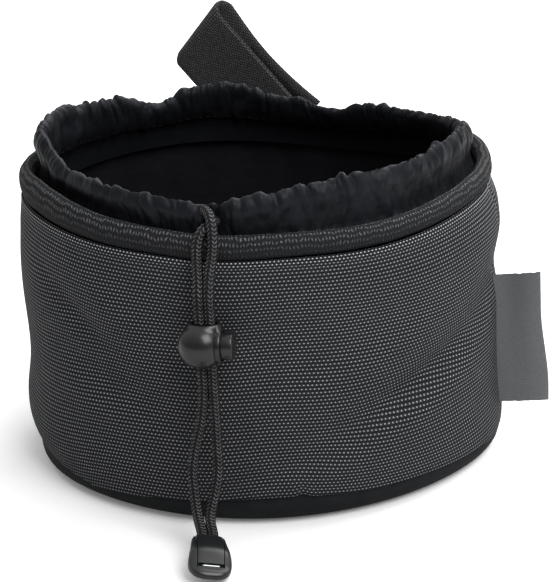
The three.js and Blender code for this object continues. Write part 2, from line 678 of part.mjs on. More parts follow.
// The half loop at the fold, swung across so that the flap lies to the right of the leg.
function strapFold() {
  const half = STRAP_THICKNESS / 2;
  const outer = arcPoints([0, 0], FOLD_RADIUS + half, 0, Math.PI, FOLD_STEPS);
  const inner = arcPoints([0, 0], FOLD_RADIUS - half, Math.PI, 0, FOLD_STEPS);
  const loop = plate(shapeOf([...outer, ...inner]), STRAP_WIDTH);
  const turn = new THREE.Matrix4().makeBasis(
    new THREE.Vector3(0, 0, 1),
    new THREE.Vector3(0, 1, 0),
    new THREE.Vector3(-1, 0, 0),
  );
  loop.applyMatrix4(turn).translate(STRAP_WIDTH / 2, 0, -FOLD_RADIUS);
  return reshape(loop, (point) => {
    const turned = Math.atan2(Math.max(point.y, 0), point.z + FOLD_RADIUS);
    point.y += FOLD_SLANT * point.x;
    point.x += (FLAP_SHIFT * turned) / Math.PI;
  });
}

function strapLeg() {
  const half = STRAP_WIDTH / 2;
  const middle = [BEND_MIDDLE.x, BEND_MIDDLE.z];
  const right = arcPoints(middle, STRAP_BEND + half, 0, STRAP_LEAN, STRAP_BEND_STEPS);
  const left = arcPoints(middle, STRAP_BEND - half, STRAP_LEAN, 0, STRAP_BEND_STEPS);
  const top = FOLD_PLACE.clone().addScaledVector(STRAP_ALONG, FOLD_OVERLAP);
  const foldAcross = STRAP_ACROSS.clone().addScaledVector(STRAP_ALONG, FOLD_SLANT);
  const topRight = top.clone().addScaledVector(foldAcross, half);
  const topLeft = top.clone().addScaledVector(foldAcross, -half);
  const outline = [...right, [topRight.x, topRight.z], [topLeft.x, topLeft.z], ...left];
  const flat = plate(shapeOf(outline), STRAP_THICKNESS).rotateX(QUARTER_TURN);
  flat.translate(0, LEG_INSIDE + STRAP_THICKNESS, 0);
  return join(flat, onStrap(strapFold()));
}

// Flap: starts with a round edge on its hinge line below the fold and closes a little towards the leg
const FLAP_HINGE = -STRAP_THICKNESS / 2 - SEAM_GAP; // along the strap from the fold
const FLAP_MIDDLE = -2 * FOLD_RADIUS; // towards the bag from the leg's middle

function onFlap(geometry) {
  const skewed = reshape(geometry, (point) => {
    const across = point.x;
    point.x += FLAP_SHIFT + (FLAP_SKEW * -point.y) / FLAP_LENGTH;
    point.y += FOLD_SLANT * across;
  });
  skewed.rotateX(-Math.asin(FLAP_CLOSING / FLAP_LENGTH));
  return onStrap(skewed.translate(0, FLAP_HINGE, FLAP_MIDDLE));
}

function strapFlap() {
  const half = STRAP_THICKNESS / 2;
  const edge = arcPoints([0, 0], half, 0, Math.PI, CORNER_STEPS);
  const section = shapeOf([[half, -FLAP_LENGTH], ...edge, [-half, -FLAP_LENGTH]]);
  const strip = plate(section, STRAP_WIDTH).rotateY(QUARTER_TURN).translate(-STRAP_WIDTH / 2, 0, 0);
  return onFlap(strip);
}

const TAPE_END = FLAP_LENGTH - TAPE_END_MARGIN; // flap's hinge line to the lower end of the tapes

// Hook tape on the flap's inner face
function hookTape() {
  const face = STRAP_THICKNESS / 2 + TAPE_SEAT;
  const half = TAPE_WIDTH / 2;
  const upper = TAPE_LENGTH - TAPE_END;
  return onFlap(boxBetween([-half, -TAPE_END, face], [half, upper, face + TAPE_THICKNESS]));
}

// Loop tape on the leg's outer face, where the hook tape meets it
function loopTape() {
  const face = -STRAP_THICKNESS / 2 - TAPE_SEAT;
  const low = FLAP_HINGE - TAPE_END;
  const half = TAPE_WIDTH / 2;
  return onStrap(boxBetween([-half, low, face - TAPE_THICKNESS], [half, low + TAPE_LENGTH, face]));
}

// The pieces
addPiece(bag, "base_panel", basePanel(), "#1b1c1e", 0.7);
addPiece(bag, "base_board", baseBoard(), "#2a2a2c", 0.6);
addPiece(bag, "base_lining", baseLining(), "#17181b", 0.55);
addPiece(bag, "body_panel", bodyPanel(), "#2c2d2f", 0.75);
addPiece(bag, "body_lining", bodyLining(), "#17181b", 0.55);
addPiece(bag, "rim_band", rimBand(), "#232426", 0.8);
addPiece(bag, "collar", collar(), "#1a1b1e", 0.5);
addPiece(bag, "drawstring_loop", drawstringLoop(), "#1e1f21", 0.8);
addPiece(bag, "drawstring_left", cord(leftStrand(), CORD_STEP / 2), "#1e1f21", 0.8);
addPiece(bag, "drawstring_right", cord(rightStrand(), CORD_STEP / 2), "#1e1f21", 0.8);
addPiece(lock, "cord_lock_body", lockBody(), "#1c1d1f", 0.42);
addPiece(lock, "cord_lock_plunger", lockPlunger(), "#202123", 0.4);
addPiece(lock, "cord_lock_spring", lockSpring(), "#b9bbbd", 0.3, 1);
addPiece(cordEnd, "cord_end_body", cordEndBody(), "#2b2c2e", 0.45);
addPiece(cordEnd, "cord_end_cover", cordEndCover(), "#2d2e30", 0.45);
addPiece(cordEnd, "drawstring_knot", knotShape(0), "#1e1f21", 0.8);
addPiece(bag, "side_label", sideLabel(), "#4b4c4e", 0.7);
addPiece(bag, "strap_tab", strapTab(), "#1f2022", 0.85);
addPiece(bag, "strap_leg", strapLeg(), "#1f2022", 0.85);
addPiece(bag, "strap_flap", strapFlap(), "#1f2022", 0.85);
addPiece(bag, "hook_tape", hookTape(), "#161718", 0.6);
addPiece(bag, "loop_tape", loopTape(), "#242527", 0.95);
bag.add(lock, cordEnd);

export default bag;
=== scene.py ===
import math

import bpy
import bmesh
from mathutils import Matrix, Quaternion, Vector, noise


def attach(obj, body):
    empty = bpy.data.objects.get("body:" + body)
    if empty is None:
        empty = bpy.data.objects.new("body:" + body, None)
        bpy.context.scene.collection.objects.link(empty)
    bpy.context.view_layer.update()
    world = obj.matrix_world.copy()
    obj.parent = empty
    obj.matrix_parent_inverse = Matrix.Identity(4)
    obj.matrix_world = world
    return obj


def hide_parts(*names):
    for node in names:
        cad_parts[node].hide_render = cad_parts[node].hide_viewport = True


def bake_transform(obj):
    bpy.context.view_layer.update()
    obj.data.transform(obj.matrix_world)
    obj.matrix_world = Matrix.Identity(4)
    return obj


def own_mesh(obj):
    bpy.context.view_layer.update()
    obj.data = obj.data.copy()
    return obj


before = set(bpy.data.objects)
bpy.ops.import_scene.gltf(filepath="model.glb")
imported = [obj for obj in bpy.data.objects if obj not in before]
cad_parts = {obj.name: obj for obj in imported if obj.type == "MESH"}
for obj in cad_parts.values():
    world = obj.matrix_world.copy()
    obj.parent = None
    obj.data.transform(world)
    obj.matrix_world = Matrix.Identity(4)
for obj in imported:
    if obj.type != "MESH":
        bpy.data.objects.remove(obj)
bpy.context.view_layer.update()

# Sizes are in millimetres. The bag stands on the floor, its front looks along -Y and its label is at +X.
MM = 0.001
TURN = 2 * math.pi
QUARTER = math.pi / 2

# Wall and base
WALL_RADIUS = 96
WALL_GIRTH = TURN * WALL_RADIUS
WALL_HEIGHT = 109
WALL_CLOTH = 1.2
WALL_FOOT = 10.6
FOOT_TUCK = 3.2
FOOT_TUCK_HEIGHT = 30
FOOT_DROP = 7.2
BASE_CORNER = 10
BASE_LEVEL = 0.15
LINING_GAP = 2.9
LINING_FLOOR = 5
LINING_CORNER = 6
LINING_ROWS = 32
WALL_COLUMNS = 480
WALL_ROWS = 64

# Rim band and collar
BAND_MIDDLE = 93.1
BAND_HALF_THICKNESS = 3.2
BAND_HALF_HEIGHT = 4.9
BAND_ROWS = 28
RIM_HEIGHT = 131
CASING_SHARE = 0.28
COLLAR_COLUMNS = 1440
COLLAR_STEPS = 6
COLLAR_LEAN = 5
FOLD_WIDTH = 6.5
FOLD_HEIGHT = 19
CASING_MIDDLE_RADIUS = 87.7

# Drawstring, cord lock and cord end
CORD_DIAMETER = 4
CORD_SIDES = 20
CORD_STEP = 0.8
CORD_FRONT = -105.2
CORD_ASIDE = 2
LOCK_PLACE = Vector((-1.5, CORD_FRONT - 0.2, 79.4))
LOCK_RADIUS = 9
LOCK_NECK = 6.9
LOCK_NECK_START = 5.9
LOCK_NECK_END = 7.9
LOCK_CAP = 8.6
LOCK_BORE = 5.6
LOCK_MOUTH = 8.7
LOCK_SIDES = 96
MOUTH_HALF_LENGTH = 6.1
MOUTH_HALF_WIDTH = 4
SLOT_HALF_LENGTH = 5
SLOT_HALF_WIDTH = 2.7
BUTTON_RADIUS = 5.4
BUTTON_OUT = 12.3
STEM_RADIUS = 5.1
PRESS_TRAVEL = 1.8
WINDOW_HALF_LENGTH = 5.2
SPRING_POCKET = 4.3
SPRING_SEAT_X = -8.7
NOSE_X = -5.4
END_PLACE = Vector((0.3, -123.8, 5.2))
END_PITCH = math.radians(12)
END_YAW = math.radians(-75)
END_ROLL = math.radians(-11)
END_LENGTH = 21
END_CORD_ASIDE = 2.05
END_CORD_HEIGHT = 3.9
END_SIDES = 64
CORD_HOLE_RADIUS = 2.1
COVER_HALF_WIDTH = 4.9
COVER_END = 15.5
COVER_UNDERSIDE = 4.1
COVER_GAP = 0.3
SLIT_LENGTH = 1.4
PIN_ALONG = 16.75
PIN_HEIGHT = 5.35
PIN_LENGTH = 6.4
PIN_RADIUS = 0.35
KNOT_RADIUS = 0.8

# Label and strap
LABEL_ROOT = WALL_RADIUS + 0.3
LABEL_BOTTOM = 17
LABEL_HEIGHT = 54.5
LABEL_WIDE = 20
LABEL_NARROW = 17.2
LABEL_LAYER = 0.45
LABEL_COLUMNS = 18
LABEL_ROWS = 48
STRAP_WIDTH = 30
STRAP_THICKNESS = 1.8
STRAP_MIDDLE = 97.2
STRAP_FOOT = 65
STRAP_TURN_START = 81.3
STRAP_TURN_RADIUS = 25
STRAP_LEAN = math.radians(40)
STRAP_LEG = 59.5
LEG_ROWS = 80
FOLD_RADIUS = 3.7
FOLD_OPENING = 1.2
FOLD_SLANT = math.tan(math.radians(7))
FOLD_ROWS = 28
FLAP_LENGTH = 57.5
FLAP_SHIFT = 4
FLAP_SKEW = 2.5
FLAP_BOW = 2.4
FLAP_CLOSING = 2.2
FLAP_ROWS = 44
TAPE_HALF_WIDTH = 12
TAPE_LENGTH = 30
TAPE_LOW = 49.2
TAPE_HALF_THICKNESS = 0.6
TAPE_SEAT = 0.15
TAPE_ROWS = 12


# Places on and round the bag
def around(angle, radius, height):
    """A point at an angle from the front towards the label."""
    return Vector((radius * math.sin(angle), -radius * math.cos(angle), height))


def evenly(length, count):
    """Even steps from 0 to a length."""
    return [length * step / count for step in range(count + 1)]


def round_turns(count):
    """Even turns of one full round."""
    return evenly(TURN, count)[:-1]


def ring_angles(count):
    """Angles round the bag, from its back and round to it again."""
    return [turn - math.pi for turn in round_turns(count)]


def rings(point, values, count):
    """Rows of points round the bag, one row for each value."""
    return [[point(angle, value) for angle in ring_angles(count)] for value in values]


def off_place(angle, place):
    """Degrees from a place on the ring to an angle, the short way round."""
    return (math.degrees(angle) - place + 180) % 360 - 180


def swell(angle, place, reach):
    """Share of a soft rise that is 1 at a place on the ring; both are in degrees."""
    return math.exp(-((off_place(angle, place) / reach) ** 2))


def patch(angle, height, place, level, reach, tall, slope=0.0):
    """Share of a soft patch on the wall, in degrees round it and millimetres up it."""
    across = off_place(angle, place)
    rise = height - level - slope * across
    return math.exp(-((across / reach) ** 2) - (rise / tall) ** 2)


def ring_noise(angle, fineness, layer):
    """Soft noise round the ring, from about -1 to 1; more fineness gives more waves."""
    return noise.noise(Vector((fineness * math.cos(angle), fineness * math.sin(angle), layer)))


def ease(share):
    """Smooth step from 0 to 1."""
    held = min(max(share, 0.0), 1.0)
    return held * held * (3 - 2 * held)


# Pieces
def make_piece(name, points, faces, coordinates, material, turn_out=False):
    """A smooth mesh piece with its cloth coordinates in millimetres."""
    mesh = bpy.data.meshes.new(name)
    mesh.from_pydata([point * MM for point in points], [], faces)
    layer = mesh.uv_layers.new(name="Cloth")
    for place, coordinate in zip(layer.uv, coordinates):
        place.vector = coordinate
    if turn_out:
        shape = bmesh.new()
        shape.from_mesh(mesh)
        bmesh.ops.recalc_face_normals(shape, faces=shape.faces)
        shape.to_mesh(mesh)
        shape.free()
    mesh.shade_smooth()
    mesh.materials.append(material)
    piece = bpy.data.objects.new(name, mesh)
    bpy.context.scene.collection.objects.link(piece)
    return piece


def skin(row_count, count, closed, capped):
    """Faces between rows of points; each corner is named by its row and column."""
    faces = []
    for row in range(row_count - 1):
        for column in range(count if closed else count - 1):
            faces.append([(row, column), (row, column + 1), (row + 1, column + 1), (row + 1, column)])
    if capped:
        faces.append([(0, column) for column in reversed(range(count))])
        faces.append([(row_count - 1, column) for column in range(count)])
    return faces


def strip(width, count, lengths):
    """Cloth coordinates of rows and columns: a share of a width, and each row's length along the cloth."""
    return lambda row, column: (width * column / count, lengths[row])


def unmarked(row, column):
    """Cloth coordinates of a piece whose material has no weave."""
    return (0.0, 0.0)


def loft(name, rows, material, spread, closed=True, capped=False):
    """A surface through rows of points; spread gives the cloth coordinates of a row and a column."""
    count = len(rows[0])
    corners = skin(len(rows), count, closed, capped)
    faces = [[row * count + column % count for row, column in face] for face in corners]
    coordinates = [spread(row, column) for face in corners for row, column in face]
    points = [point for row in rows for point in row]
    return make_piece(name, points, faces, coordinates, material, turn_out=capped)


def solid(name, rows, material, spread=unmarked):
    """A closed piece through rings of points, with both its ends shut."""
    return loft(name, rows, material, spread, capped=True)


def spans(points):
    """The stretches of a line, each with the points before and after it."""
    ends = [2 * points[0] - points[1]] + points + [2 * points[-1] - points[-2]]
    return zip(ends, ends[1:], ends[2:], ends[3:])


CURVE_PARTS = 24


def smooth_line(points, step):
    """Points at even steps along a smooth line through the given points."""
    dense = []
    for before, start, stop, after in spans(points):
        first = (start - before).length ** 0.5
        second = first + (stop - start).length ** 0.5
        third = second + (after - stop).length ** 0.5
        for along in evenly(second - first, CURVE_PARTS)[:-1]:
            at = first + along
            one = before.lerp(start, at / first)
            two = start.lerp(stop, (at - first) / (second - first))
            three = stop.lerp(after, (at - second) / (third - second))
            four = one.lerp(two, at / second)
            five = two.lerp(three, (at - first) / (third - first))
            dense.append(four.lerp(five, (at - first) / (second - first)))
    dense.append(points[-1])
    return even_line(dense, step)


def lengths_along(line):
    """Length from a line's start to each of its points."""
    lengths = [0.0]
    for start, stop in zip(line, line[1:]):
        lengths.append(lengths[-1] + (stop - start).length)
    return lengths


def even_line(dense, step):
    """The same line with its points at even steps."""
    lengths = lengths_along(dense)
    line = []
    place = 0
    for wanted in evenly(lengths[-1], max(2, round(lengths[-1] / step))):
        while place < len(dense) - 2 and lengths[place + 1] < wanted:
            place += 1
        share = (wanted - lengths[place]) / (lengths[place + 1] - lengths[place])
        line.append(dense[place].lerp(dense[place + 1], share))
    return line


FRONT = Vector((0.2, -1, 0.2))


def tube(name, line, radius, sides, material):
    """A round tube along a line; its coordinates are turns from its front and millimetres along it."""
    rows = []
    normal = FRONT
    for index, point in enumerate(line):
        ahead = (line[min(index + 1, len(line) - 1)] - line[max(index - 1, 0)]).normalized()
        normal = (normal - ahead * normal.dot(ahead)).normalized()
        side = ahead.cross(normal)
        ring = [normal * math.cos(turn) + side * math.sin(turn) for turn in round_turns(sides)]
        rows.append([point + out * radius for out in ring])
    return solid(name, rows, material, strip(1, sides, lengths_along(line)))


def bake(piece):
    """Makes the change of a piece's modifier part of its own shape."""
    shaped = piece.evaluated_get(bpy.context.evaluated_depsgraph_get())
    mesh = bpy.data.meshes.new_from_object(shaped)
    piece.modifiers.clear()
    old = piece.data
    piece.data = mesh
    bpy.data.meshes.remove(old)


def carve(piece, cutters, operation="DIFFERENCE"):
    """Cuts a piece by other closed pieces, which are then removed."""
    for cutter in cutters:
        change = piece.modifiers.new("cut", "BOOLEAN")
        change.operation = operation
        change.solver = "EXACT"
        change.object = cutter
        bake(piece)
    for cutter in cutters:
        bpy.data.objects.remove(cutter)


def round_edges(piece, width):
    """Small rounded edges that catch the light, with smooth faces between them."""
    change = piece.modifiers.new("edges", "BEVEL")
    change.width = width * MM
    change.segments = 2
    change.limit_method = "ANGLE"
    change.angle_limit = math.radians(35)
    bake(piece)
    piece.data.shade_smooth()
    piece.data.set_sharp_from_angle(angle=math.radians(38))


def fit(piece, body, slot, *nodes):
    """Puts a piece on its body and hides the solids that it stands for; the slot it is given is not used."""
    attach(piece, body)
    if nodes:
        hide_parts(*nodes)
    return piece


# Camera, as in the photograph
CAMERA_TURN = math.radians(12)
CAMERA_RISE = math.radians(20)
CAMERA_ROLL = math.radians(-2.67)
CAMERA_DISTANCE = 1000
CAMERA_TARGET = Vector((0, 0, 60))
CAMERA_LENS = 159.5
PICTURE_WIDTH = 550
CAMERA_SHIFT_RIGHT = 11.8
CAMERA_SHIFT_UP = 5.2


def set_camera():
    """A long lens a metre away, a little to the right of the front and above the rim."""
    flat = math.cos(CAMERA_RISE)
    back = Vector((math.sin(CAMERA_TURN) * flat, -math.cos(CAMERA_TURN) * flat, math.sin(CAMERA_RISE)))
    data = bpy.data.cameras.new("camera")
    data.sensor_fit = "HORIZONTAL"
    data.lens = CAMERA_LENS
    data.shift_x = CAMERA_SHIFT_RIGHT / PICTURE_WIDTH
    data.shift_y = CAMERA_SHIFT_UP / PICTURE_WIDTH
    camera = bpy.data.objects.new("camera", data)
    camera.location = (CAMERA_TARGET + back * CAMERA_DISTANCE) * MM
    camera.rotation_mode = "QUATERNION"
    camera.rotation_quaternion = back.to_track_quat("Z", "Y") @ Quaternion((0, 0, 1), CAMERA_ROLL)
    bpy.context.scene.collection.objects.link(camera)
    bpy.context.scene.camera = camera


set_camera()


# Nodes that several materials share
def linear(code):
    """Linear colour of a written sRGB hex colour."""
    parts = [int(code[place:place + 2], 16) / 255 for place in (1, 3, 5)]
    return [part / 12.92 if part <= 0.04045 else ((part + 0.055) / 1.055) ** 2.4 for part in parts] + [1.0]


def add_node(tree, kind, inputs=None, **settings):
    """A node with its settings; each input is a value or another node's output."""
    made = tree.nodes.new(kind)
    for name, value in settings.items():
        setattr(made, name, value)
    for name, value in (inputs or {}).items():
        socket = made.inputs[name]
        if isinstance(value, bpy.types.NodeSocket):
            tree.links.new(value, socket)
        else:
            socket.default_value = value
    return made


def maths(tree, operation, *values):
    """Result of a sum on plain values."""
    return add_node(tree, "ShaderNodeMath", dict(enumerate(values)), operation=operation).outputs[0]


def vector_maths(tree, operation, *values):
    """Results of a sum on vectors: a vector and a plain value."""
    return add_node(tree, "ShaderNodeVectorMath", dict(enumerate(values)), operation=operation).outputs


def ranged(tree, value, start=(0, 1), result=(0, 1), kind="LINEAR"):
    """A value moved from one range to another."""
    inputs = {"Value": value, "From Min": start[0], "From Max": start[1]}
    inputs.update({"To Min": result[0], "To Max": result[1]})
    return add_node(tree, "ShaderNodeMapRange", inputs, interpolation_type=kind).outputs[0]


def mixed(tree, share, dark, light):
    """A colour between two, each a written colour or another node's output."""
    ends = [linear(end) if isinstance(end, str) else end for end in (dark, light)]
    return add_node(tree, "ShaderNodeMix", {0: share, 6: ends[0], 7: ends[1]}, data_type="RGBA").outputs[2]


def spot_noise(tree, size, detail=2.0):
    """Soft noise with spots of a given size in millimetres, from the piece's own place."""
    place = add_node(tree, "ShaderNodeTexCoord").outputs["Object"]
    settings = {"Vector": place, "Scale": 1 / (size * MM), "Detail": detail}
    return add_node(tree, "ShaderNodeTexNoise", settings).outputs["Fac"]


def cloth_place(tree, pitch, row, wobble=0.0):
    """Cloth coordinates in cells across and rows up; wobble shifts cells by a share of their size."""
    place = add_node(tree, "ShaderNodeTexCoord").outputs["UV"]
    cells = vector_maths(tree, "MULTIPLY", place, (1 / pitch, 1 / row, 0))[0]
    if wobble:
        spots = {"Vector": cells, "Scale": 0.5, "Detail": 1.0}
        shift = add_node(tree, "ShaderNodeTexNoise", spots).outputs["Color"]
        cells = vector_maths(tree, "MULTIPLY_ADD", shift, (wobble, wobble, 0), cells)[0]
    return add_node(tree, "ShaderNodeSeparateXYZ", {0: cells}).outputs


def spot(tree, across, up, middle, size, limits):
    """1 near a middle in each cell and 0 away from it, with a soft edge between two limits."""
    place = add_node(tree, "ShaderNodeCombineXYZ", {"X": across, "Y": up}).outputs[0]
    offset = vector_maths(tree, "SUBTRACT", place, (middle, 0.5, 0))[0]
    shape = vector_maths(tree, "MULTIPLY", offset, (size[0], size[1], 0))[0]
    far = vector_maths(tree, "LENGTH", shape)["Value"]
    return ranged(tree, far, limits, kind="SMOOTHSTEP")


def speck_field(tree, pitch, row, radius, soft, stretch=1.0, wobble=0.0):
    """Small specks in rows, each row shifted by half a pitch; 1 in a speck and 0 between them."""
    cells = cloth_place(tree, pitch, row, wobble)
    moved = maths(tree, "MULTIPLY_ADD", maths(tree, "FLOOR", cells["Y"]), 0.5, cells["X"])
    across = maths(tree, "FRACT", moved)
    up = maths(tree, "FRACT", cells["Y"])
    return spot(tree, across, up, 0.5, (pitch / stretch, row), (radius + soft, radius - soft))


def chevron_field(tree, pitch, row, slant, middle, reach, width, wobble=0.0):
    """Slanting yarns in rows of chevrons: 1 on a yarn, else 0; middle and reach are shares of the pitch."""
    cells = cloth_place(tree, pitch, row, wobble)
    away = maths(tree, "PINGPONG", cells["X"], 0.5)
    along = maths(tree, "FRACT", maths(tree, "MULTIPLY_ADD", away, slant, cells["Y"]))
    return spot(tree, away, along, middle, (1 / reach, 1 / width), (1.3, 0.5))


def rib_field(tree, row):
    """Fine ribs across the cloth: 1 on a rib and 0 in the groove between two."""
    share = maths(tree, "PINGPONG", cloth_place(tree, row, row)["Y"], 0.5)
    return maths(tree, "MULTIPLY", share, 2.0)


def finish_surface(tree, shade, rough, shine=0.5, relief=None, more=None):
    """Ends a material; a relief is a height from 0 to 1, its strength and its depth in millimetres."""
    settings = {"Base Color": shade, "Roughness": rough, "Specular IOR Level": shine}
    settings.update(more or {})
    if relief:
        bump = {"Height": relief[0], "Strength": relief[1], "Distance": relief[2] * MM}
        settings["Normal"] = add_node(tree, "ShaderNodeBump", bump).outputs[0]
    surface = add_node(tree, "ShaderNodeBsdfPrincipled", settings)
    add_node(tree, "ShaderNodeOutputMaterial", {"Surface": surface.outputs[0]})


def make_material(name, fill, **look):
    """A material whose nodes are made by one of the functions below."""
    material = bpy.data.materials.new(name)
    material.use_nodes = True
    material.node_tree.nodes.clear()
    fill(material.node_tree, **look)
    return material


# Materials
DOT_PITCH = WALL_GIRTH / round(WALL_GIRTH / 1.6)
DOT_ROW = 1.5
DOT_RADIUS = 0.25
# Height of the top rows whose floats are painted brighter, as a painted highlight on the hem's edge
HEM_HIGHLIGHT_ROWS = 1.6
CORD_RIBS = 4
CORD_STITCH = 1.5


def woven_polyester(tree):
    """Two-tone woven polyester: black ribs and a small pale float in each cell, so that it looks dotted; rib
    tops are painted lighter and grooves darker as painted light and shade, and the hem's floats brighter as
    painted highlight.
    """
    dots = speck_field(tree, DOT_PITCH, DOT_ROW, DOT_RADIUS, soft=0.14, stretch=1.05)
    ribs = rib_field(tree, DOT_ROW)
    pale = mixed(tree, spot_noise(tree, 9), "#8e8f91", "#bcbdbe")
    height = cloth_place(tree, 1, 1)["Y"]
    # painted highlight: the floats in the top rows and the turned-in hem are painted brighter, where the
    # hem's rounded top edge catches the light
    hem = ranged(tree, height, (WALL_HEIGHT - HEM_HIGHLIGHT_ROWS, WALL_HEIGHT - 0.5 * HEM_HIGHLIGHT_ROWS))
    floats_with_hem_highlight = mixed(tree, hem, pale, "#d8d9da")
    # painted light and shade: the rib tops are painted lighter and the grooves between ribs darker; the
    # noise in it is random tone
    yarn = mixed(tree, maths(tree, "MULTIPLY", ribs, spot_noise(tree, 0.6)), "#131416", "#45464b")
    shade = mixed(tree, dots, yarn, floats_with_hem_highlight)
    finish_surface(tree, shade, rough=0.8, shine=0.15, relief=(maths(tree, "ADD", dots, ribs), 0.5, 0.14))


def coated_polyester(tree):
    """Plain black cloth with a rubbed coating: a fine tight weave, dull, with little light and shade."""
    weave = speck_field(tree, pitch=0.9, row=0.8, radius=0.24, soft=0.14)
    shade = mixed(tree, spot_noise(tree, 6), "#141517", "#1f2123")
    finish_surface(tree, shade, rough=0.7, shine=0.15, relief=(weave, 0.35, 0.1))


def knitted_webbing(tree):
    """Warp-knitted polyester webbing: thick slanting loops with black holes between, painted paler on top as
    painted light and dimmer below as painted shade.
    """
    knit = {"pitch": 2.8, "row": 2.3, "slant": 0.9, "middle": 0.25, "reach": 0.17, "width": 0.27}
    loops = chevron_field(tree, **knit, wobble=1.1)
    # painted light and shade: the loops are paler on the band's upper face and dimmer on its lower face
    painted_top_light = ranged(tree, cloth_place(tree, 1, 1)["Y"], (7, 12), (0.2, 1))
    lit = maths(tree, "MULTIPLY", maths(tree, "MULTIPLY", loops, spot_noise(tree, 1.2, 3.0)), painted_top_light)
    shade = mixed(tree, lit, "#202123", "#868788")
    finish_surface(tree, shade, rough=0.85, shine=0.15, relief=(loops, 1.0, 0.6))


def brushed_webbing(tree, pitch, row, radius, dark, light, fuzz):
    """Webbing with a brushed face: the weave shows through a short nap that catches light at its edges."""
    yarns = speck_field(tree, pitch, row, radius, 0.5 * radius, stretch=1.3, wobble=0.5)
    lit = maths(tree, "MULTIPLY", yarns, spot_noise(tree, 1.6, 4.0))
    shade = mixed(tree, lit, dark, light)
    nap = {"Sheen Weight": fuzz}
    finish_surface(tree, shade, rough=0.9, shine=0.1, relief=(lit, 0.8, 0.4), more=nap)


def calendered_nylon(tree, dark, light):
    """Thin nylon pressed between hot rollers: a close flat weave that shines softly along its folds."""
    shade = mixed(tree, spot_noise(tree, 14), dark, light)
    crumple = spot_noise(tree, 3, 4.0)
    rough = ranged(tree, spot_noise(tree, 7), result=(0.4, 0.52))
    tint = {"Specular Tint": linear("#e4e7f0")}
    finish_surface(tree, shade, rough, shine=0.2, relief=(crumple, 0.5, 0.6), more=tint)


def braided_polyester(tree):
    """Braided polyester cord: slanting yarns with pale tops that meet in chevrons, and black gaps."""
    braid = {"slant": 1.7, "middle": 0.19, "reach": 0.2, "width": 0.24}
    yarn = chevron_field(tree, 1 / CORD_RIBS, CORD_STITCH, **braid)
    lit = maths(tree, "MULTIPLY", yarn, spot_noise(tree, 4))
    shade = mixed(tree, lit, "#111113", "#838486")
    finish_surface(tree, shade, rough=0.7, shine=0.2, relief=(yarn, 0.9, 0.35))


def moulded_plastic(tree, dark, light, smooth, dull):
    """Plastic from a sparked steel mould: a satin skin with fine grain and a few duller rubbed places."""
    shade = mixed(tree, spot_noise(tree, 5), dark, light)
    grain = spot_noise(tree, 0.35, 1.0)
    rough = ranged(tree, spot_noise(tree, 3, 3.0), result=(smooth, dull))
    finish_surface(tree, shade, rough, relief=(grain, 0.06, 0.05), more={"IOR": 1.52})


def drawn_steel(tree):
    """Drawn spring wire: bright steel with fine draw lines along it."""
    shade = mixed(tree, spot_noise(tree, 1.5), "#b0b2b5", "#cfd1d3")
    rough = ranged(tree, spot_noise(tree, 0.12), result=(0.22, 0.4))
    finish_surface(tree, shade, rough, more={"Metallic": 1.0})


def pressed_board(tree):
    """Pressed fibre board: dull dark grey with short fibres."""
    shade = mixed(tree, spot_noise(tree, 1.2, 5.0), "#252527", "#343436")
    finish_surface(tree, shade, rough=0.85, relief=(spot_noise(tree, 0.8, 4.0), 0.2, 0.2))


def satin_tape(tree):
    """Tape woven in satin: a soft shine and fine ribs, drawn coarser than they are so that they show."""
    ribs = speck_field(tree, pitch=0.95, row=0.7, radius=0.24, soft=0.2)
    uneven = maths(tree, "MULTIPLY", ribs, spot_noise(tree, 1.4))
    shade = mixed(tree, uneven, "#606264", "#88898b")
    finish_surface(tree, shade, rough=0.62, shine=0.3, relief=(ribs, 0.35, 0.1))


def sewing_thread(tree, dark, light):
    """Twisted polyester sewing thread: a soft shine broken by the twist."""
    shade = mixed(tree, spot_noise(tree, 0.4), dark, light)
    finish_surface(tree, shade, rough=0.6, shine=0.1)


def pale_floor(tree):
    """Matt white studio floor: the camera sees it a little brighter than its light on the bag."""
    seen = add_node(tree, "ShaderNodeLightPath").outputs["Is Camera Ray"]
    plain = add_node(tree, "ShaderNodeBsdfDiffuse", {"Color": linear("#d4d4d4")})
    bright = add_node(tree, "ShaderNodeBsdfDiffuse", {"Color": (1.1, 1.1, 1.1, 1)})
    glow = add_node(tree, "ShaderNodeEmission", {"Color": linear("#ffffff"), "Strength": 0.1})
    lifted = add_node(tree, "ShaderNodeAddShader", {0: bright.outputs[0], 1: glow.outputs[0]})
    shown = add_node(tree, "ShaderNodeMixShader", {0: seen, 1: plain.outputs[0], 2: lifted.outputs[0]})
    add_node(tree, "ShaderNodeOutputMaterial", {"Surface": shown.outputs[0]})


strap_look = {"pitch": 1.2, "row": 0.9, "radius": 0.34, "fuzz": 0.05}
hook_look = {"pitch": 1.3, "row": 1.3, "radius": 0.3, "fuzz": 0.0}
loop_look = {"pitch": 1.1, "row": 0.9, "radius": 0.4, "fuzz": 0.08}
strap_look.update(dark="#1e1e1f", light="#666769")
hook_look.update(dark="#0d0d0e", light="#343536")
loop_look.update(dark="#131314", light="#3f4042")
lock_look = {"dark": "#151516", "light": "#1c1c1d", "smooth": 0.24, "dull": 0.32}
end_look = {"dark": "#161718", "light": "#1d1e1f", "smooth": 0.26, "dull": 0.34}
cord_finish = make_material("braided polyester cord", braided_polyester)
wall_finish = make_material("two-tone woven polyester", woven_polyester)
base_finish = make_material("coated polyester cloth", coated_polyester)
band_finish = make_material("warp-knitted polyester webbing", knitted_webbing)
strap_finish = make_material("brushed nylon webbing", brushed_webbing, **strap_look)
collar_finish = make_material("calendered nylon taffeta", calendered_nylon, dark="#111215", light="#191a1e")
lining_finish = make_material("calendered lining taffeta", calendered_nylon, dark="#131316", light="#1c1c20")
lock_finish = make_material("moulded acetal", moulded_plastic, **lock_look)
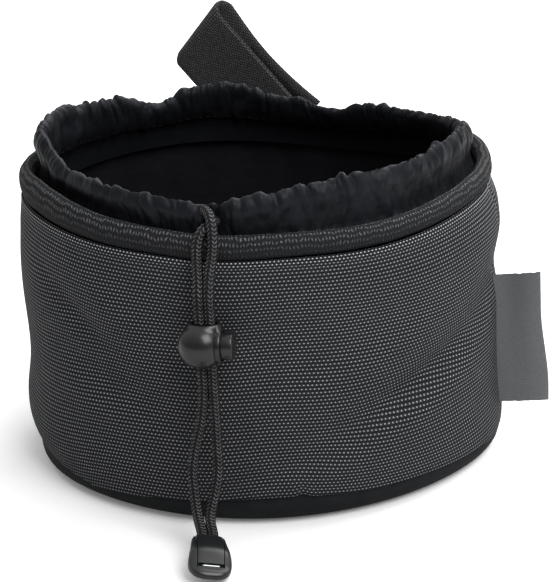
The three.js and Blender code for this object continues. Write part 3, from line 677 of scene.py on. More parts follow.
end_finish = make_material("moulded nylon", moulded_plastic, **end_look)
steel_finish = make_material("drawn spring steel", drawn_steel)
board_finish = make_material("pressed fibre board", pressed_board)
label_finish = make_material("woven satin tape", satin_tape)
hook_finish = make_material("moulded hook tape", brushed_webbing, **hook_look)
loop_finish = make_material("napped loop tape", brushed_webbing, **loop_look)
thread_finish = make_material("twisted black thread", sewing_thread, dark="#060607", light="#101012")
pale_thread_finish = make_material("twisted grey thread", sewing_thread, dark="#3a3b3c", light="#7b7c7d")
floor_finish = make_material("pale studio floor", pale_floor)


# Drawstring: two strands come out of the collar's slit, pass the lock and end in the cord end
def in_cord_end(x, y, z):
    """A point of the cord end in the bag's frame; its own X runs from its mouth to its nose."""
    lying = Matrix.Rotation(END_YAW, 3, "Z") @ Matrix.Rotation(END_PITCH, 3, "Y")
    return END_PLACE + lying @ Matrix.Rotation(END_ROLL, 3, "X") @ Vector((x, y, z))


def strand_places(upper, aside, top, lower, end_aside):
    """Places along a strand: over the collar, straight down through the lock, and into the cord end."""
    straight = [(aside, CORD_FRONT, height) for height in (top, 88.5, 79.5, 70.5, 60.5)]
    inside = [(-4, END_CORD_HEIGHT + 0.3), (0, END_CORD_HEIGHT), (5.4, END_CORD_HEIGHT)]
    places = [Vector(place) for place in (*upper, *straight, *lower)]
    return places + [in_cord_end(along, end_aside, height) for along, height in inside]


RIGHT_STRAND = strand_places(
    upper=(
        (-6.0, -86.7, 125.5),
        (-3.1, -87.1, 125.8),
        (-0.2, -90.2, 125.6),
        (1.8, -94, 123.3),
        (2.7, -96.7, 118.6),
        (2.8, -98.5, 114),
        (2.5, -100.7, 109.5),
        (2.1, -103.3, 104.8),
    ),
    aside=CORD_ASIDE,
    top=100,
    lower=(
        (2.2, -105.5, 50),
        (2.4, -106.4, 40),
        (2.7, -108, 30),
        (1.5, -109.7, 22.5),
        (0.4, -111.8, 17),
        (0.3, -115, 12.8),
    ),
    end_aside=END_CORD_ASIDE,
)
LEFT_STRAND = strand_places(
    upper=(
        (6.0, -86.7, 122.6),
        (3.2, -87.1, 122.2),
        (0.6, -90, 120.9),
        (-1.8, -94.6, 119.8),
        (-3.1, -97.2, 116.4),
        (-3.2, -98.9, 111.4),
        (-2.8, -101, 107.4),
        (-2.2, -103.5, 103.6),
    ),
    aside=-CORD_ASIDE,
    top=99.4,
    lower=(
        (-3.2, -105.5, 50),
        (-5.6, -106.4, 40),
        (-7.1, -108, 30),
        (-6.4, -109.9, 22.5),
        (-5.4, -112.3, 17),
        (-3.9, -115.8, 13),
    ),
    end_aside=-END_CORD_ASIDE,
)


def make_strand(name, points, node):
    """One free strand of the drawstring, and the line that it follows."""
    line = smooth_line(points, CORD_STEP)
    strand = tube(name, line, CORD_DIAMETER / 2, CORD_SIDES, cord_finish)
    return fit(strand, "bag", "cord", node), line


right_strand, right_line = make_strand("right_strand", RIGHT_STRAND, "drawstring_right")
left_strand, left_line = make_strand("left_strand", LEFT_STRAND, "drawstring_left")


# Wall and base: a soft shell that sags between its seam and its stiff base
def seam_height(angle):
    """Top edge of the dotted wall, which dips under the drawstring and rises at both sides."""
    rise = 2.2 * swell(angle, -58, 26) + 0.6 * swell(angle, 80, 24)
    dip = 1.3 * swell(angle, 2, 13) + 2 * swell(angle, 38, 24) + 5.6 * swell(angle, 165, 32)
    return WALL_HEIGHT + rise - dip


def wall_radius(angle, height):
    """The wall's outside, with its bellies, creases, slanting hollows and the seam that holds the label."""
    radius = WALL_RADIUS - FOOT_TUCK * max(0.0, 1 - height / FOOT_TUCK_HEIGHT) ** 2
    radius -= (0.8 + 1.9 * swell(angle, 90, 45)) * ease((height - WALL_HEIGHT + 9) / 11)
    radius += 1.7 * patch(angle, height, place=-76, level=80, reach=32, tall=17)
    radius += 2.9 * patch(angle, height, place=-74, level=20, reach=34, tall=20)
    radius -= 3.6 * patch(angle, height, place=-74, level=0, reach=34, tall=11)
    radius -= 1.6 * patch(angle, height, place=97, level=73.5, reach=24, tall=9)
    radius += 1.4 * patch(angle, height, place=94, level=92, reach=26, tall=8)
    radius += 2.4 * patch(angle, height, place=92, level=8, reach=26, tall=14)
    radius -= 4.2 * patch(angle, height, place=50, level=50, reach=24, tall=7, slope=0.62)
    radius += 2.3 * patch(angle, height, place=46, level=69, reach=26, tall=8, slope=0.5)
    radius += 1.8 * patch(angle, height, place=44, level=34, reach=24, tall=7, slope=0.55)
    radius -= 1.8 * patch(angle, height, place=26, level=27, reach=14, tall=5, slope=0.3)
    radius -= 2.6 * patch(angle, height, place=-36, level=77, reach=12, tall=7, slope=-1.0)
    radius += 1.6 * patch(angle, height, place=-25, level=86, reach=10, tall=8, slope=-1.0)
    radius -= 2.2 * patch(angle, height, place=-28, level=56, reach=15, tall=7, slope=-0.5)
    radius += 1.2 * patch(angle, height, place=-30, level=42, reach=16, tall=7, slope=-0.4)
    radius -= 1.6 * patch(angle, height, place=146, level=58, reach=22, tall=12, slope=-0.5)
    radius -= 1.5 * patch(angle, height, place=-138, level=48, reach=24, tall=13, slope=0.5)
    free = ease((height - 12) / 25) * ease((WALL_HEIGHT - 4 - height) / 20)
    radius += 0.7 * free * noise.noise(Vector((3 * math.sin(angle), 3 * math.cos(angle), height / 26)))
    return radius - 0.5 * swell(angle, 90, 1.1)


def foot_height(angle):
    """Lower edge of the dotted wall, which hangs over the base at the left of the front."""
    from_front = off_place(angle, 0)
    hanging = ease((-6 - from_front) / 54) * ease((from_front + 165) / 60)
    return WALL_FOOT - FOOT_DROP * hanging + 2.4 * swell(angle, 14, 14) - 4 * swell(angle, 96, 30)


def foot_nick(angle):
    """How far a small nick in the lower edge lifts it, at the right of the front."""
    return 1.2 * swell(angle, 19, 1.3)


def wall_point(angle, share):
    """A point on the wall's outside, at a share of its height."""
    foot = foot_height(angle)
    even = foot + share * (seam_height(angle) - foot)
    height = even + foot_nick(angle) * (1 - ease((even - foot) / 8))
    return around(angle, wall_radius(angle, height), height)


def edge_ring(edge, inset, rise):
    """A ring of points on cloth that is turned in at an edge of the wall."""
    row = []
    for angle in ring_angles(WALL_COLUMNS):
        height = edge(angle)
        row.append(around(angle, wall_radius(angle, height) - inset, height + rise))
    return row


def foot_edge(angle):
    """The wall's lower edge with its nick."""
    return foot_height(angle) + foot_nick(angle)


def make_wall():
    """Dotted wall with its top hem turned in and its foot turned under."""
    foot = ((1.3, 2.0), (1.2, 0.1), (0.5, -0.3))
    hem = ((0.35, 0.5, 1.7), (1.0, 0.75, 2.5), (1.7, 0.5, 3.3), (2.1, -0.6, 4.5), (2.2, -4, 8))
    shares = evenly(1, WALL_ROWS)
    rows = [edge_ring(foot_edge, inset, rise) for inset, rise in foot]
    rows += rings(wall_point, shares, WALL_COLUMNS)
    rows += [edge_ring(seam_height, inset, rise) for inset, rise, mark in hem]
    tall = WALL_HEIGHT - WALL_FOOT
    marks = [WALL_FOOT - 1 + rise for inset, rise in foot]
    marks += [WALL_FOOT + share * tall + ease((share - 0.96) / 0.04) for share in shares]
    marks += [WALL_HEIGHT + mark for inset, rise, mark in hem]

    def spread(row, column):
        """Cloth coordinates that drift a little, as the cut cloth did when it was sewn."""
        angle = TURN * column / WALL_COLUMNS
        drift = ring_noise(angle, 1.6, marks[row] / 45)
        calm = 1 - ease((marks[row] - WALL_HEIGHT + 22) / 16)
        return (WALL_RADIUS * angle, marks[row] + 3.2 * drift * calm)

    return fit(loft("dotted_wall", rows, wall_finish, spread), "bag", "dotted_cloth", "body_panel")


dotted_wall = make_wall()


def base_floor(angle, radius):
    """A point on the base's flat underside."""
    return around(angle, radius, BASE_LEVEL)


def base_edge(angle, height):
    """A point of the base's edge, behind the wall's foot."""
    return around(angle, wall_radius(angle, height) - WALL_CLOTH - 0.4, height)


def base_corner(angle, turn):
    """A point on the base's rounded edge."""
    outer = wall_radius(angle, WALL_FOOT) - 0.9
    corner = BASE_CORNER - 4 * swell(angle, 96, 34)
    radius = outer - corner * (1 - math.sin(turn))
    tall = min(corner, foot_height(angle) + 1.5)
    return around(angle, radius, tall * (1 - math.cos(turn)) + BASE_LEVEL)


def make_base():
    """Flat base whose rounded edge goes up behind the wall's foot."""
    columns = WALL_COLUMNS // 2
    reach = WALL_RADIUS - FOOT_TUCK - BASE_CORNER
    radii = [reach * share for share in (0.0005, 0.3, 0.6, 0.85)]
    turns = evenly(QUARTER, 8)
    rows = rings(base_floor, radii, columns) + rings(base_corner, turns, columns)
    rows += rings(base_edge, [WALL_FOOT + 3], columns)
    marks = radii + [reach + BASE_CORNER * turn for turn in turns] + [reach + BASE_CORNER * QUARTER + 3]
    base = loft("base_shell", rows, base_finish, strip(WALL_GIRTH, columns, marks))
    return fit(base, "bag", "base_cloth", "base_panel")


base_shell = make_base()


def lining_point(angle, left):
    """A point on the lining, which hangs in soft upright waves, at the share of its height that is left."""
    height = 10.3 + (seam_height(angle) - 10.8) * left
    wave = 0.3 * math.sin(19 * angle + 0.03 * height) + 0.25 * math.sin(31 * angle - 0.05 * height + 1)
    return around(angle, wall_radius(angle, height) - LINING_GAP + wave, height)


def lining_corner(angle, turn):
    """A point where the lining turns from the base up the wall."""
    outer = wall_radius(angle, 11) - LINING_GAP - 0.3
    height = LINING_FLOOR + LINING_CORNER * (1 - math.cos(turn))
    return around(angle, outer - LINING_CORNER * (1 - math.sin(turn)), height)


def lining_floor(angle, radius):
    """A point of the lining on the board, with a few soft wrinkles."""
    wrinkle = 0.35 * math.sin(3 * angle + 0.06 * radius) * math.sin(0.05 * radius)
    return around(angle, radius, LINING_FLOOR + wrinkle)


def make_lining():
    """Loose black lining inside the wall and over the base board."""
    columns = WALL_COLUMNS // 2
    hanging = rings(lining_point, [1 - share for share in evenly(1, LINING_ROWS)], columns)
    laid = rings(lining_corner, [QUARTER * (1 - share) for share in evenly(1, 6)], columns)
    laid += rings(lining_floor, (74, 56, 38, 20, 0.05), columns)
    wall_spread = strip(WALL_GIRTH, columns, [3.0 * row for row in range(len(hanging))])
    floor_spread = strip(WALL_GIRTH, columns, [8.0 * row for row in range(len(laid))])
    wall = loft("wall_lining", hanging, lining_finish, wall_spread)
    floor = loft("floor_lining", laid, lining_finish, floor_spread)
    return fit(wall, "bag", "lining", "body_lining"), fit(floor, "bag", "lining", "base_lining")


wall_lining, floor_lining = make_lining()


# Rim band and collar
def drawn_in(angle):
    """How far the drawstring pulls the band in: nothing at the front and most at the right."""
    return 1.4 * (1 - swell(angle, 0, 30)) + 0.7 * swell(angle, 90, 50) - 0.7 * swell(angle, -80, 40)


def band_point(angle, turn):
    """A point on the band's rounded section."""
    tall = BAND_HALF_HEIGHT + 1.8 * swell(angle, -55, 24)
    tall = tall - 0.5 * swell(angle, 40, 30) - 0.5 * swell(angle, 162, 32)
    out = math.cos(turn) * BAND_HALF_THICKNESS
    up = math.sin(turn) * tall
    uneven = 0.3 * ring_noise(angle, 9, 2.5) - drawn_in(angle)
    return around(angle, BAND_MIDDLE + uneven + out, seam_height(angle) + 0.8 + tall + up)


def make_band():
    """Thick webbing that stands on the wall's hem and bulges over it."""
    turns = [turn - 0.75 * math.pi for turn in evenly(TURN, BAND_ROWS)]
    rows = rings(band_point, turns, WALL_COLUMNS)
    spread = strip(WALL_GIRTH, WALL_COLUMNS, lengths_along([row[0] for row in rows]))
    fit(loft("rim_webbing", rows, band_finish, spread), "bag", "rim_webbing", "rim_band")


make_band()


def rim_height(angle):
    """Top of the collar, low where the drawstring comes out and slumped at the back."""
    rise = 7.5 * swell(angle, -66, 14) + 3.7 * swell(angle, 38, 22) + 5.1 * swell(angle, 76, 20)
    corner = 5 * swell(angle, -95, 16)
    left_slump = 6.4 * swell(angle, -138, 9) + 0.8 * swell(angle, -156, 8) + 7.4 * swell(angle, -174, 9)
    right_slump = 4.2 * swell(angle, 120, 18) + 8.4 * swell(angle, 148, 20) + 9.8 * swell(angle, 169, 10)
    return RIM_HEIGHT + rise + corner - left_slump - right_slump - 3 * swell(angle, 0, 8)


def collar_lean(angle, height):
    """How far the collar falls inwards at a height; it slumps most at the back."""
    waves = (1.1 * ring_noise(angle, 1.7, 0.4), 0.8 * ring_noise(angle, 4.5, 6.1))
    rim = COLLAR_LEAN * swell(angle, 170, 45) + waves[0] + waves[1]
    low = seam_height(angle) - 6
    share = max(0.0, (height - low) / (rim_height(angle) - low))
    pulled = 2.1 * (1 - swell(angle, 0, 24)) * ease((height - low - 6) / 12)
    return rim * share ** 1.5 + pulled + drawn_in(angle)


def folds(angle, along):
    """Crumpled folds of the drawn collar: round ridges with sharp valleys, from about -0.5 to 0.6."""
    turn = angle + 0.05 * ring_noise(angle, 6, along / 18)
    count = CASING_MIDDLE_RADIUS / FOLD_WIDTH
    place = Vector((count * math.cos(turn), count * math.sin(turn), along / FOLD_HEIGHT))
    return 1.6 * abs(noise.noise(place)) + 0.7 * abs(noise.noise(2.3 * place)) - 0.5


def stitch_height(angle):
    """The seam that closes the casing."""
    seam = seam_height(angle)
    return seam + CASING_SHARE * (rim_height(angle) - seam)


def collar_outline(angle):
    """Radius and height of the collar's section, up the outer face, over the rim and down inside."""
    rim = rim_height(angle)
    seam = seam_height(angle)
    stitch = stitch_height(angle)
    casing = rim - stitch
    pinch = 3.0 * swell(angle, 0.6, 1.8)
    outline = [
        (91.3, seam - 6),
        (90.3, seam + 3.5),
        (89.2, stitch),
        (89.4 - 0.5 * pinch, stitch + 0.38 * casing),
        (90.6 - pinch, stitch + 0.74 * casing),
        (88.4, rim),
        (86.1, stitch + 0.8 * casing),
        (86.0, stitch + 0.4 * casing),
        (87.2, stitch),
        (88.8, seam + 3.5),
        (90.2, seam - 6),
    ]
    return [Vector((radius, 0, height)) for radius, height in outline]


def curve_point(before, start, stop, after, share):
    """A point on an even smooth curve between two points."""
    one = 2 * start
    two = (stop - before) * share
    three = (2 * before - 5 * start + 4 * stop - after) * share ** 2
    four = (3 * start - before - 3 * stop + after) * share ** 3
    return (one + two + three + four) / 2


def collar_column(angle):
    """Points of the collar at one angle, with its folds along the cloth's own normal."""
    corners = collar_outline(angle)
    smooth = []
    for stretch in spans(corners):
        smooth += [curve_point(*stretch, share) for share in evenly(1, COLLAR_STEPS)[:-1]]
    smooth.append(corners[-1])
    low = corners[0].z
    along = lengths_along(smooth)
    column = []
    for index, point in enumerate(smooth):
        ahead = smooth[min(index + 1, len(smooth) - 1)] - smooth[max(index - 1, 0)]
        normal = Vector((ahead.z, 0, -ahead.x)).normalized()
        share = index / (len(smooth) - 1)
        loose = 1.0 + 0.8 * math.exp(-(((share - 0.5) / 0.15) ** 2))
        held = ease((point.z - low - 4) / 8)
        moved = point + normal * (loose * held * folds(angle, along[index]))
        column.append(around(angle, moved.x - collar_lean(angle, point.z), moved.z))
    return column


def make_collar():
    """Gathered collar with its casing, in one round of thin cloth that is turned over at the rim."""
    columns = [collar_column(angle) for angle in ring_angles(COLLAR_COLUMNS)]
    rows = [list(row) for row in zip(*columns)]
    marks = [1.2 * row for row in range(len(rows))]
    spread = strip(TURN * CASING_MIDDLE_RADIUS, COLLAR_COLUMNS, marks)
    return fit(loft("gathered_collar", rows, collar_finish, spread), "bag", "collar_cloth", "collar")


gathered_collar = make_collar()


def make_casing_cord():
    """The drawstring's hidden length, which lies in the casing below the rim."""
    start = math.radians(4.5)
    points = []
    for turn in evenly(TURN - 2 * start, 180):
        angle = start + turn
        height = (stitch_height(angle) + rim_height(angle)) / 2
        points.append(around(angle, CASING_MIDDLE_RADIUS - collar_lean(angle, height), height))
    cord = tube("casing_cord", even_line(points, 3 * CORD_STEP), 0.3 * CORD_DIAMETER, 12, cord_finish)
    fit(cord, "bag", "cord", "drawstring_loop")


make_casing_cord()

# Stitches
STITCH_SIDES = 6
STITCH_SHAPE = ((0, 0.35), (0.2, 0.9), (0.5, 1.0), (0.8, 0.9), (1, 0.35))


def stitch_row(name, line, material, length, gap, radius):
    """A row of short round stitches along a line, in one piece."""
    points = []
    faces = []
    even = even_line(line, (length + gap) / 4)
    for first, last in zip(even[::4], even[3::4]):
        ahead = (last - first).normalized()
        side = ahead.orthogonal().normalized()
        up = ahead.cross(side)
        for face in skin(len(STITCH_SHAPE), STITCH_SIDES, closed=True, capped=True):
            faces.append([len(points) + row * STITCH_SIDES + column % STITCH_SIDES for row, column in face])
        for along, thick in STITCH_SHAPE:
            middle = first.lerp(last, along)
            for turn in round_turns(STITCH_SIDES):
                points.append(middle + (side * math.cos(turn) + up * math.sin(turn)) * radius * thick)
    coordinates = [unmarked(0, 0)] * sum(len(face) for face in faces)
    return make_piece(name, points, faces, coordinates, material)


def make_casing_stitches():
    """The seam that closes the casing, seen on the collar's inner face."""
    line = []
    for angle in ring_angles(720) + [math.pi]:
        height = stitch_height(angle) + 0.3
        line.append(around(angle, 87.1 - collar_lean(angle, height), height))
    stitches = stitch_row("casing_stitches", line, thread_finish, length=2.4, gap=0.7, radius=0.3)
    return fit(stitches, "bag", "collar_cloth")


casing_stitches = make_casing_stitches()


# Cord lock: a ball with a bore across it for the plunger and an upright slot for the two strands
def turned(name, outline):
    """A piece of the lock turned round its axis along X: the outline gives places along it and radii."""
    rows = []
    for along, radius in outline:
        ring = [(radius * math.cos(turn), radius * math.sin(turn)) for turn in round_turns(LOCK_SIDES)]
        rows.append([LOCK_PLACE + Vector((along, *place)) for place in ring])
    return solid(name, rows, lock_finish, strip(40, LOCK_SIDES, [along for along, radius in outline]))


def slot_cutter(aside, half_length):
    """The upright slot with round ends that lets both strands through the lock, for cutting."""
    middle = Vector((aside, CORD_FRONT, LOCK_PLACE.z))
    reach = half_length - SLOT_HALF_WIDTH
    section = []
    for turn in round_turns(48):
        across = math.copysign(reach, math.cos(turn)) + SLOT_HALF_WIDTH * math.cos(turn)
        section.append(middle + Vector((across, SLOT_HALF_WIDTH * math.sin(turn), 0)))
    rows = [[point + Vector((0, 0, level)) for point in section] for level in (-12, 12)]
    return solid("slot", rows, lock_finish)


def make_lock_body():
    """Ball with a raised mouth for the cords, a flat below, and a groove and short neck round the button."""
    outline = []
    for turn in evenly(math.pi, 72)[1:-1]:
        along = -LOCK_RADIUS * math.cos(turn)
        if along < LOCK_NECK_START - 0.15:
            outline.append((along, LOCK_RADIUS * math.sin(turn)))
    outline += [
        (LOCK_NECK_START, LOCK_NECK - 0.15),
        (LOCK_NECK_START + 0.1, LOCK_NECK - 0.45),
        (LOCK_NECK_START + 0.35, LOCK_NECK - 0.45),
        (LOCK_NECK_START + 0.5, LOCK_NECK - 0.08),
        (LOCK_NECK_START + 0.7, LOCK_NECK),
        (LOCK_NECK_END - 0.5, LOCK_NECK),
        (LOCK_NECK_END - 0.12, LOCK_NECK - 0.18),
        (LOCK_NECK_END, LOCK_NECK - 0.5),
    ]
    body = turned("lock_ball", outline)
    for vertex in body.data.vertices:
        rise = vertex.co.z / MM - LOCK_PLACE.z
        if rise > 0:
            off = vertex.co / MM - Vector((0, CORD_FRONT, 0))
            away = math.hypot(off.x / MOUTH_HALF_LENGTH, off.y / MOUTH_HALF_WIDTH)
            rise += (LOCK_MOUTH - rise) * (1 - ease((away - 0.9) / 0.3))
        vertex.co.z = (LOCK_PLACE.z + max(rise, -LOCK_CAP)) * MM
    bore = turned("bore", [(-4.2, LOCK_BORE), (9, LOCK_BORE)])
    pocket = turned("pocket", [(SPRING_SEAT_X - LOCK_PLACE.x, SPRING_POCKET), (8, SPRING_POCKET)])
    carve(body, [bore, pocket, slot_cutter(0, SLOT_HALF_LENGTH)])
    round_edges(body, 0.25)
    return fit(body, "cord_lock", "lock_plastic", "cord_lock_body")


def make_lock_button():
    """Press button and stem in one, with a slot that clears the strands through its whole travel."""
    nose = NOSE_X - LOCK_PLACE.x
    outline = [
        (nose, 3.6),
        (nose + 0.2, 3.9),
        (1.6, STEM_RADIUS),
        (7.6, STEM_RADIUS),
        (7.8, BUTTON_RADIUS),
        (BUTTON_OUT - 0.8, BUTTON_RADIUS),
        (BUTTON_OUT - 0.35, BUTTON_RADIUS - 0.15),
        (BUTTON_OUT - 0.1, BUTTON_RADIUS - 0.5),
        (BUTTON_OUT, BUTTON_RADIUS - 1.1),
        (BUTTON_OUT + 0.12, 2.0),
        (BUTTON_OUT + 0.15, 0.3),
    ]
    button = turned("lock_button", outline)
    carve(button, [slot_cutter(PRESS_TRAVEL / 2, WINDOW_HALF_LENGTH)])
    round_edges(button, 0.12)
    return fit(button, "cord_lock_button", "lock_plastic", "cord_lock_plunger")


lock_body = make_lock_body()
lock_button = make_lock_button()


# Cord end: a hinged clip that holds the knotted ends of the drawstring
def end_half_width(along):
    """Half the cord end's width, from its mouth to its blunt round nose."""
    widening = 6.4 + 1.7 * ease(along / 14)
    nose = 1 - max(0.0, (along - 13) / (END_LENGTH - 13)) ** 2.6 * 0.46
    return widening * nose


def end_height(along):
    """Height of the cord end: it climbs to a ridge and falls more steeply to the low nose."""
    climb = 7.2 + 0.15 * along
    fall = 12.9 - 0.46 * along
    ridge = -math.log(math.exp(-1.4 * climb) + math.exp(-1.4 * fall)) / 1.4
    return max(ridge, 5.5 - 0.14 * (along - 15.5))


def squared(share, reach):
    """A place on a round section that is drawn out towards a square."""
    return math.copysign(abs(share) ** 0.6, share) * reach


def end_solid(name):
    """The cord end's whole outside, before its cover is parted from it."""
    places = [(0, 1.5), (0.25, 0.8), (0.8, 0.3), (1.6, 0)]
    places += [(1.6 + far, 0) for far in evenly(17.2, 40)[1:-1]]
    places += [(18.8, 0), (19.6, 0.15), (20.3, 0.6), (20.75, 1.2), (END_LENGTH, 2.1)]
    rows = []
    for along, inset in places:
        half = end_half_width(along) - inset
        under = 1.4 * ease((along - 13) / 8)
        middle = (end_height(along) + under) / 2
        tall = max(0.4, middle - under - 0.7 * inset)
        row = []
        for turn in round_turns(END_SIDES):
            up = middle + squared(math.sin(turn), tall)
            row.append(in_cord_end(along, squared(math.cos(turn), half), up))
        rows.append(row)
    return solid(name, rows, end_finish, strip(40, END_SIDES, [along for along, inset in places]))


def end_block(name, low, high):
    """A block in the cord end's own frame, for cutting."""
    corners = ((low[1], low[2]), (high[1], low[2]), (high[1], high[2]), (low[1], high[2]))
    rows = [[in_cord_end(along, out, up) for out, up in corners] for along in (low[0], high[0])]
    return solid(name, rows, end_finish)


def cord_holes():
    """Round ways for both strands into the cord end, for cutting."""
    holes = []
    for name, aside in (("left_hole", -END_CORD_ASIDE), ("right_hole", END_CORD_ASIDE)):
        ring = []
        for turn in round_turns(32):
            up = END_CORD_HEIGHT + CORD_HOLE_RADIUS * math.sin(turn)
            ring.append((aside + CORD_HOLE_RADIUS * math.cos(turn), up))
        rows = [[in_cord_end(along, out, up) for out, up in ring] for along in (-4, 14.6)]
        holes.append(solid(name, rows, end_finish))
    return holes


def make_cord_end():
    """Clip body with room for its cover and a slit in front of it, and the cover that lifts off the knot."""
    body = end_solid("clip_body")
    room_half_width = COVER_HALF_WIDTH + COVER_GAP
    room_low = (-3, -room_half_width, COVER_UNDERSIDE - COVER_GAP)
    room = end_block("room", room_low, (COVER_END + SLIT_LENGTH, room_half_width, 14))
    carve(body, [room] + cord_holes())
    round_edges(body, 0.2)
    fit(body, "bag", "cord_end_plastic", "cord_end_body")
    cover = end_solid("clip_cover")
    keep = end_block("keep", (-3, -COVER_HALF_WIDTH, COVER_UNDERSIDE), (COVER_END, COVER_HALF_WIDTH, 14))
    carve(cover, [keep], "INTERSECT")
    carve(cover, cord_holes())
    round_edges(cover, 0.2)
    fit(cover, "cord_end_lid", "cord_end_plastic", "cord_end_cover")
    return body, cover


def make_hinge_pin():
    """The steel pin let into the slit's far edge, clear of the cover when it turns."""
    places = [far - PIN_LENGTH / 2 for far in evenly(PIN_LENGTH, 16)]
    line = [in_cord_end(PIN_ALONG, aside, PIN_HEIGHT) for aside in places]
    return fit(tube("hinge_pin", line, PIN_RADIUS, 16, steel_finish), "bag", "spring_steel")


def make_knot():
    """The strands' ends tied together in an overhand knot inside the clip."""
    points = []
    for full in evenly(TURN, 39):
        turn = full * 0.96
        reach = 1.35 + 0.75 * math.cos(3 * turn)
        along = 9.8 + reach * math.sin(2 * turn)
        points.append(in_cord_end(along, reach * math.cos(2 * turn), 3.5 + 0.55 * math.sin(3 * turn)))
    knot = tube("tied_knot", smooth_line(points, 0.5), KNOT_RADIUS, 12, cord_finish)
    return fit(knot, "bag", "cord", "drawstring_knot")


clip_body, clip_cover = make_cord_end()
hinge_pin = make_hinge_pin()
tied_knot = make_knot()


# Label: a folded tape sewn into the right side, its face left bare
def label_point(share, up, through):
    """A point of the label: share of its width, share of its height, and place through it."""
    width = LABEL_WIDE - (LABEL_WIDE - LABEL_NARROW) * ease((up - 0.1) / 0.62)
    wave = 1.1 * math.sin(math.pi * (1.1 * up + 0.2)) * share ** 2
    curl = 0.5 * math.sin(TURN * share) * (0.4 + 0.6 * up)
    fray = 0.35 * noise.noise(Vector((17 * share, 14 * up, 0.5)))
    height = LABEL_BOTTOM + LABEL_HEIGHT * up + share * (1.4 + 1.0 * up) + fray * min(1.0, 4 * share)
    seated = (wall_radius(QUARTER, height) + 0.2 - LABEL_ROOT) * (1 - share) ** 2
    return Vector((LABEL_ROOT + seated + width * share, wave - 0.6 * share + curl + through, height))


def make_label():
    """Two layers of tape that meet in a fold at the free edge."""
    front = [(share, -LABEL_LAYER * (1 - 0.2 * share)) for share in evenly(1, LABEL_COLUMNS)]
    back = [(share, -through) for share, through in reversed(front)]
    section = front + [(1.012, -0.25), (1.016, 0.0), (1.012, 0.25)] + back
    rows = []
    for up in evenly(1, LABEL_ROWS):
        rows.append([label_point(share, up, through) for share, through in section])
    spread = strip(1, 1, evenly(LABEL_HEIGHT, LABEL_ROWS))
    label = loft("bare_label", rows, label_finish, spread, closed=False)
    return fit(label, "label", "label_tape", "side_label")


bare_label = make_label()

# Hanging strap: webbing sewn to the back, folded over at its top and closed by two tapes
STRAP_OUT = Vector((0, 1, 0))
STRAP_ALONG = Vector((-math.sin(STRAP_LEAN), 0, math.cos(STRAP_LEAN)))
STRAP_ACROSS = Vector((math.cos(STRAP_LEAN), 0, math.sin(STRAP_LEAN)))
SLANTED_ACROSS = STRAP_ACROSS + STRAP_ALONG * FOLD_SLANT
STRAP_BEND_START = STRAP_TURN_START - STRAP_FOOT
STRAP_BEND_END = STRAP_BEND_START + STRAP_TURN_RADIUS * STRAP_LEAN
STRAP_FOLD = STRAP_BEND_END + STRAP_LEG


def strap_line(far):
    """Middle of the strap and its turn towards the left, at a length from its sewn end."""
    turn = min(max((far - STRAP_BEND_START) / STRAP_TURN_RADIUS, 0.0), STRAP_LEAN)
    rise = min(far, STRAP_BEND_START) + STRAP_TURN_RADIUS * math.sin(turn)
    aside = -STRAP_TURN_RADIUS * (1 - math.cos(turn))
    middle = Vector((aside, STRAP_MIDDLE, STRAP_FOOT + rise))
    return middle + STRAP_ALONG * max(0.0, far - STRAP_BEND_END), turn


FOLD_PLACE = strap_line(STRAP_FOLD)[0]


def leg_point(far, aside, through):
    """A point of the strap's leg; its rows slant more and more towards the fold."""
    middle, turn = strap_line(far)
    across = Vector((math.cos(turn), 0, math.sin(turn)))
    slant = FOLD_SLANT * ease((far - STRAP_FOLD + 40) / 40)
    return middle + (across + STRAP_ALONG * slant) * aside + STRAP_OUT * through


def fold_radius(aside):
    """Radius of the loop at the fold, which gapes towards its right side."""
    return FOLD_RADIUS + FOLD_OPENING * aside / (STRAP_WIDTH / 2)


def fold_point(turn, aside, through):
    """A point of the open loop at the strap's top."""
    out = STRAP_ALONG * math.sin(turn) - STRAP_OUT * math.cos(turn)
    radius = fold_radius(aside)
    middle = FOLD_PLACE + STRAP_OUT * radius + STRAP_ACROSS * (FLAP_SHIFT * turn / math.pi)
    return middle + SLANTED_ACROSS * aside + out * (radius - through)


def flap_point(down, aside, through):
    """A point of the flap at a length below the fold."""
    share = down / FLAP_LENGTH
    gape = 2 * (fold_radius(aside) - FOLD_RADIUS) * (1 - ease(down / 30))
    out = 2 * FOLD_RADIUS + gape - FLAP_CLOSING * share + through
    shift = FLAP_SHIFT + FLAP_SKEW * share - 4 * FLAP_BOW * share * (1 - share)
    middle = FOLD_PLACE + STRAP_ACROSS * shift - STRAP_ALONG * down
    return middle + SLANTED_ACROSS * aside + STRAP_OUT * out


def flat_section(half_width, half_thickness, steps):
    """Section of a flat tape with rounded edges: places across it and through it."""
    section = []
    for side in (1, -1):
        for share in evenly(2, steps):
            across = side * half_width * (share - 1)
            over = max(0.0, abs(across) - half_width + half_thickness) / half_thickness
            section.append((across, side * half_thickness * math.sqrt(max(0.04, 1 - over * over))))
    return section


STRAP_SECTION = flat_section(STRAP_WIDTH / 2, STRAP_THICKNESS / 2, 20)


def tape_rows(point, places, section, lift=0.0):
    """Rows of a tape's points, one at each place along it, lifted off the webbing where it lies on that."""
    return [[point(place, aside, through + lift) for aside, through in section] for place in places]


def make_strap_leg():
    """The strap from its sewn end over the fold; it bends where it leaves the tab."""
    fars = evenly(STRAP_FOLD, LEG_ROWS)
    turns = evenly(math.pi, FOLD_ROWS)[1:]
    rows = tape_rows(leg_point, fars, STRAP_SECTION) + tape_rows(fold_point, turns, STRAP_SECTION)
    lengths = fars + [STRAP_FOLD + FOLD_RADIUS * turn for turn in turns]
    spread = strip(2 * STRAP_WIDTH, len(STRAP_SECTION), lengths)
    leg = solid("strap_leg_webbing", rows, strap_finish, spread)
    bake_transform(leg)
    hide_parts("strap_tab", "strap_leg")


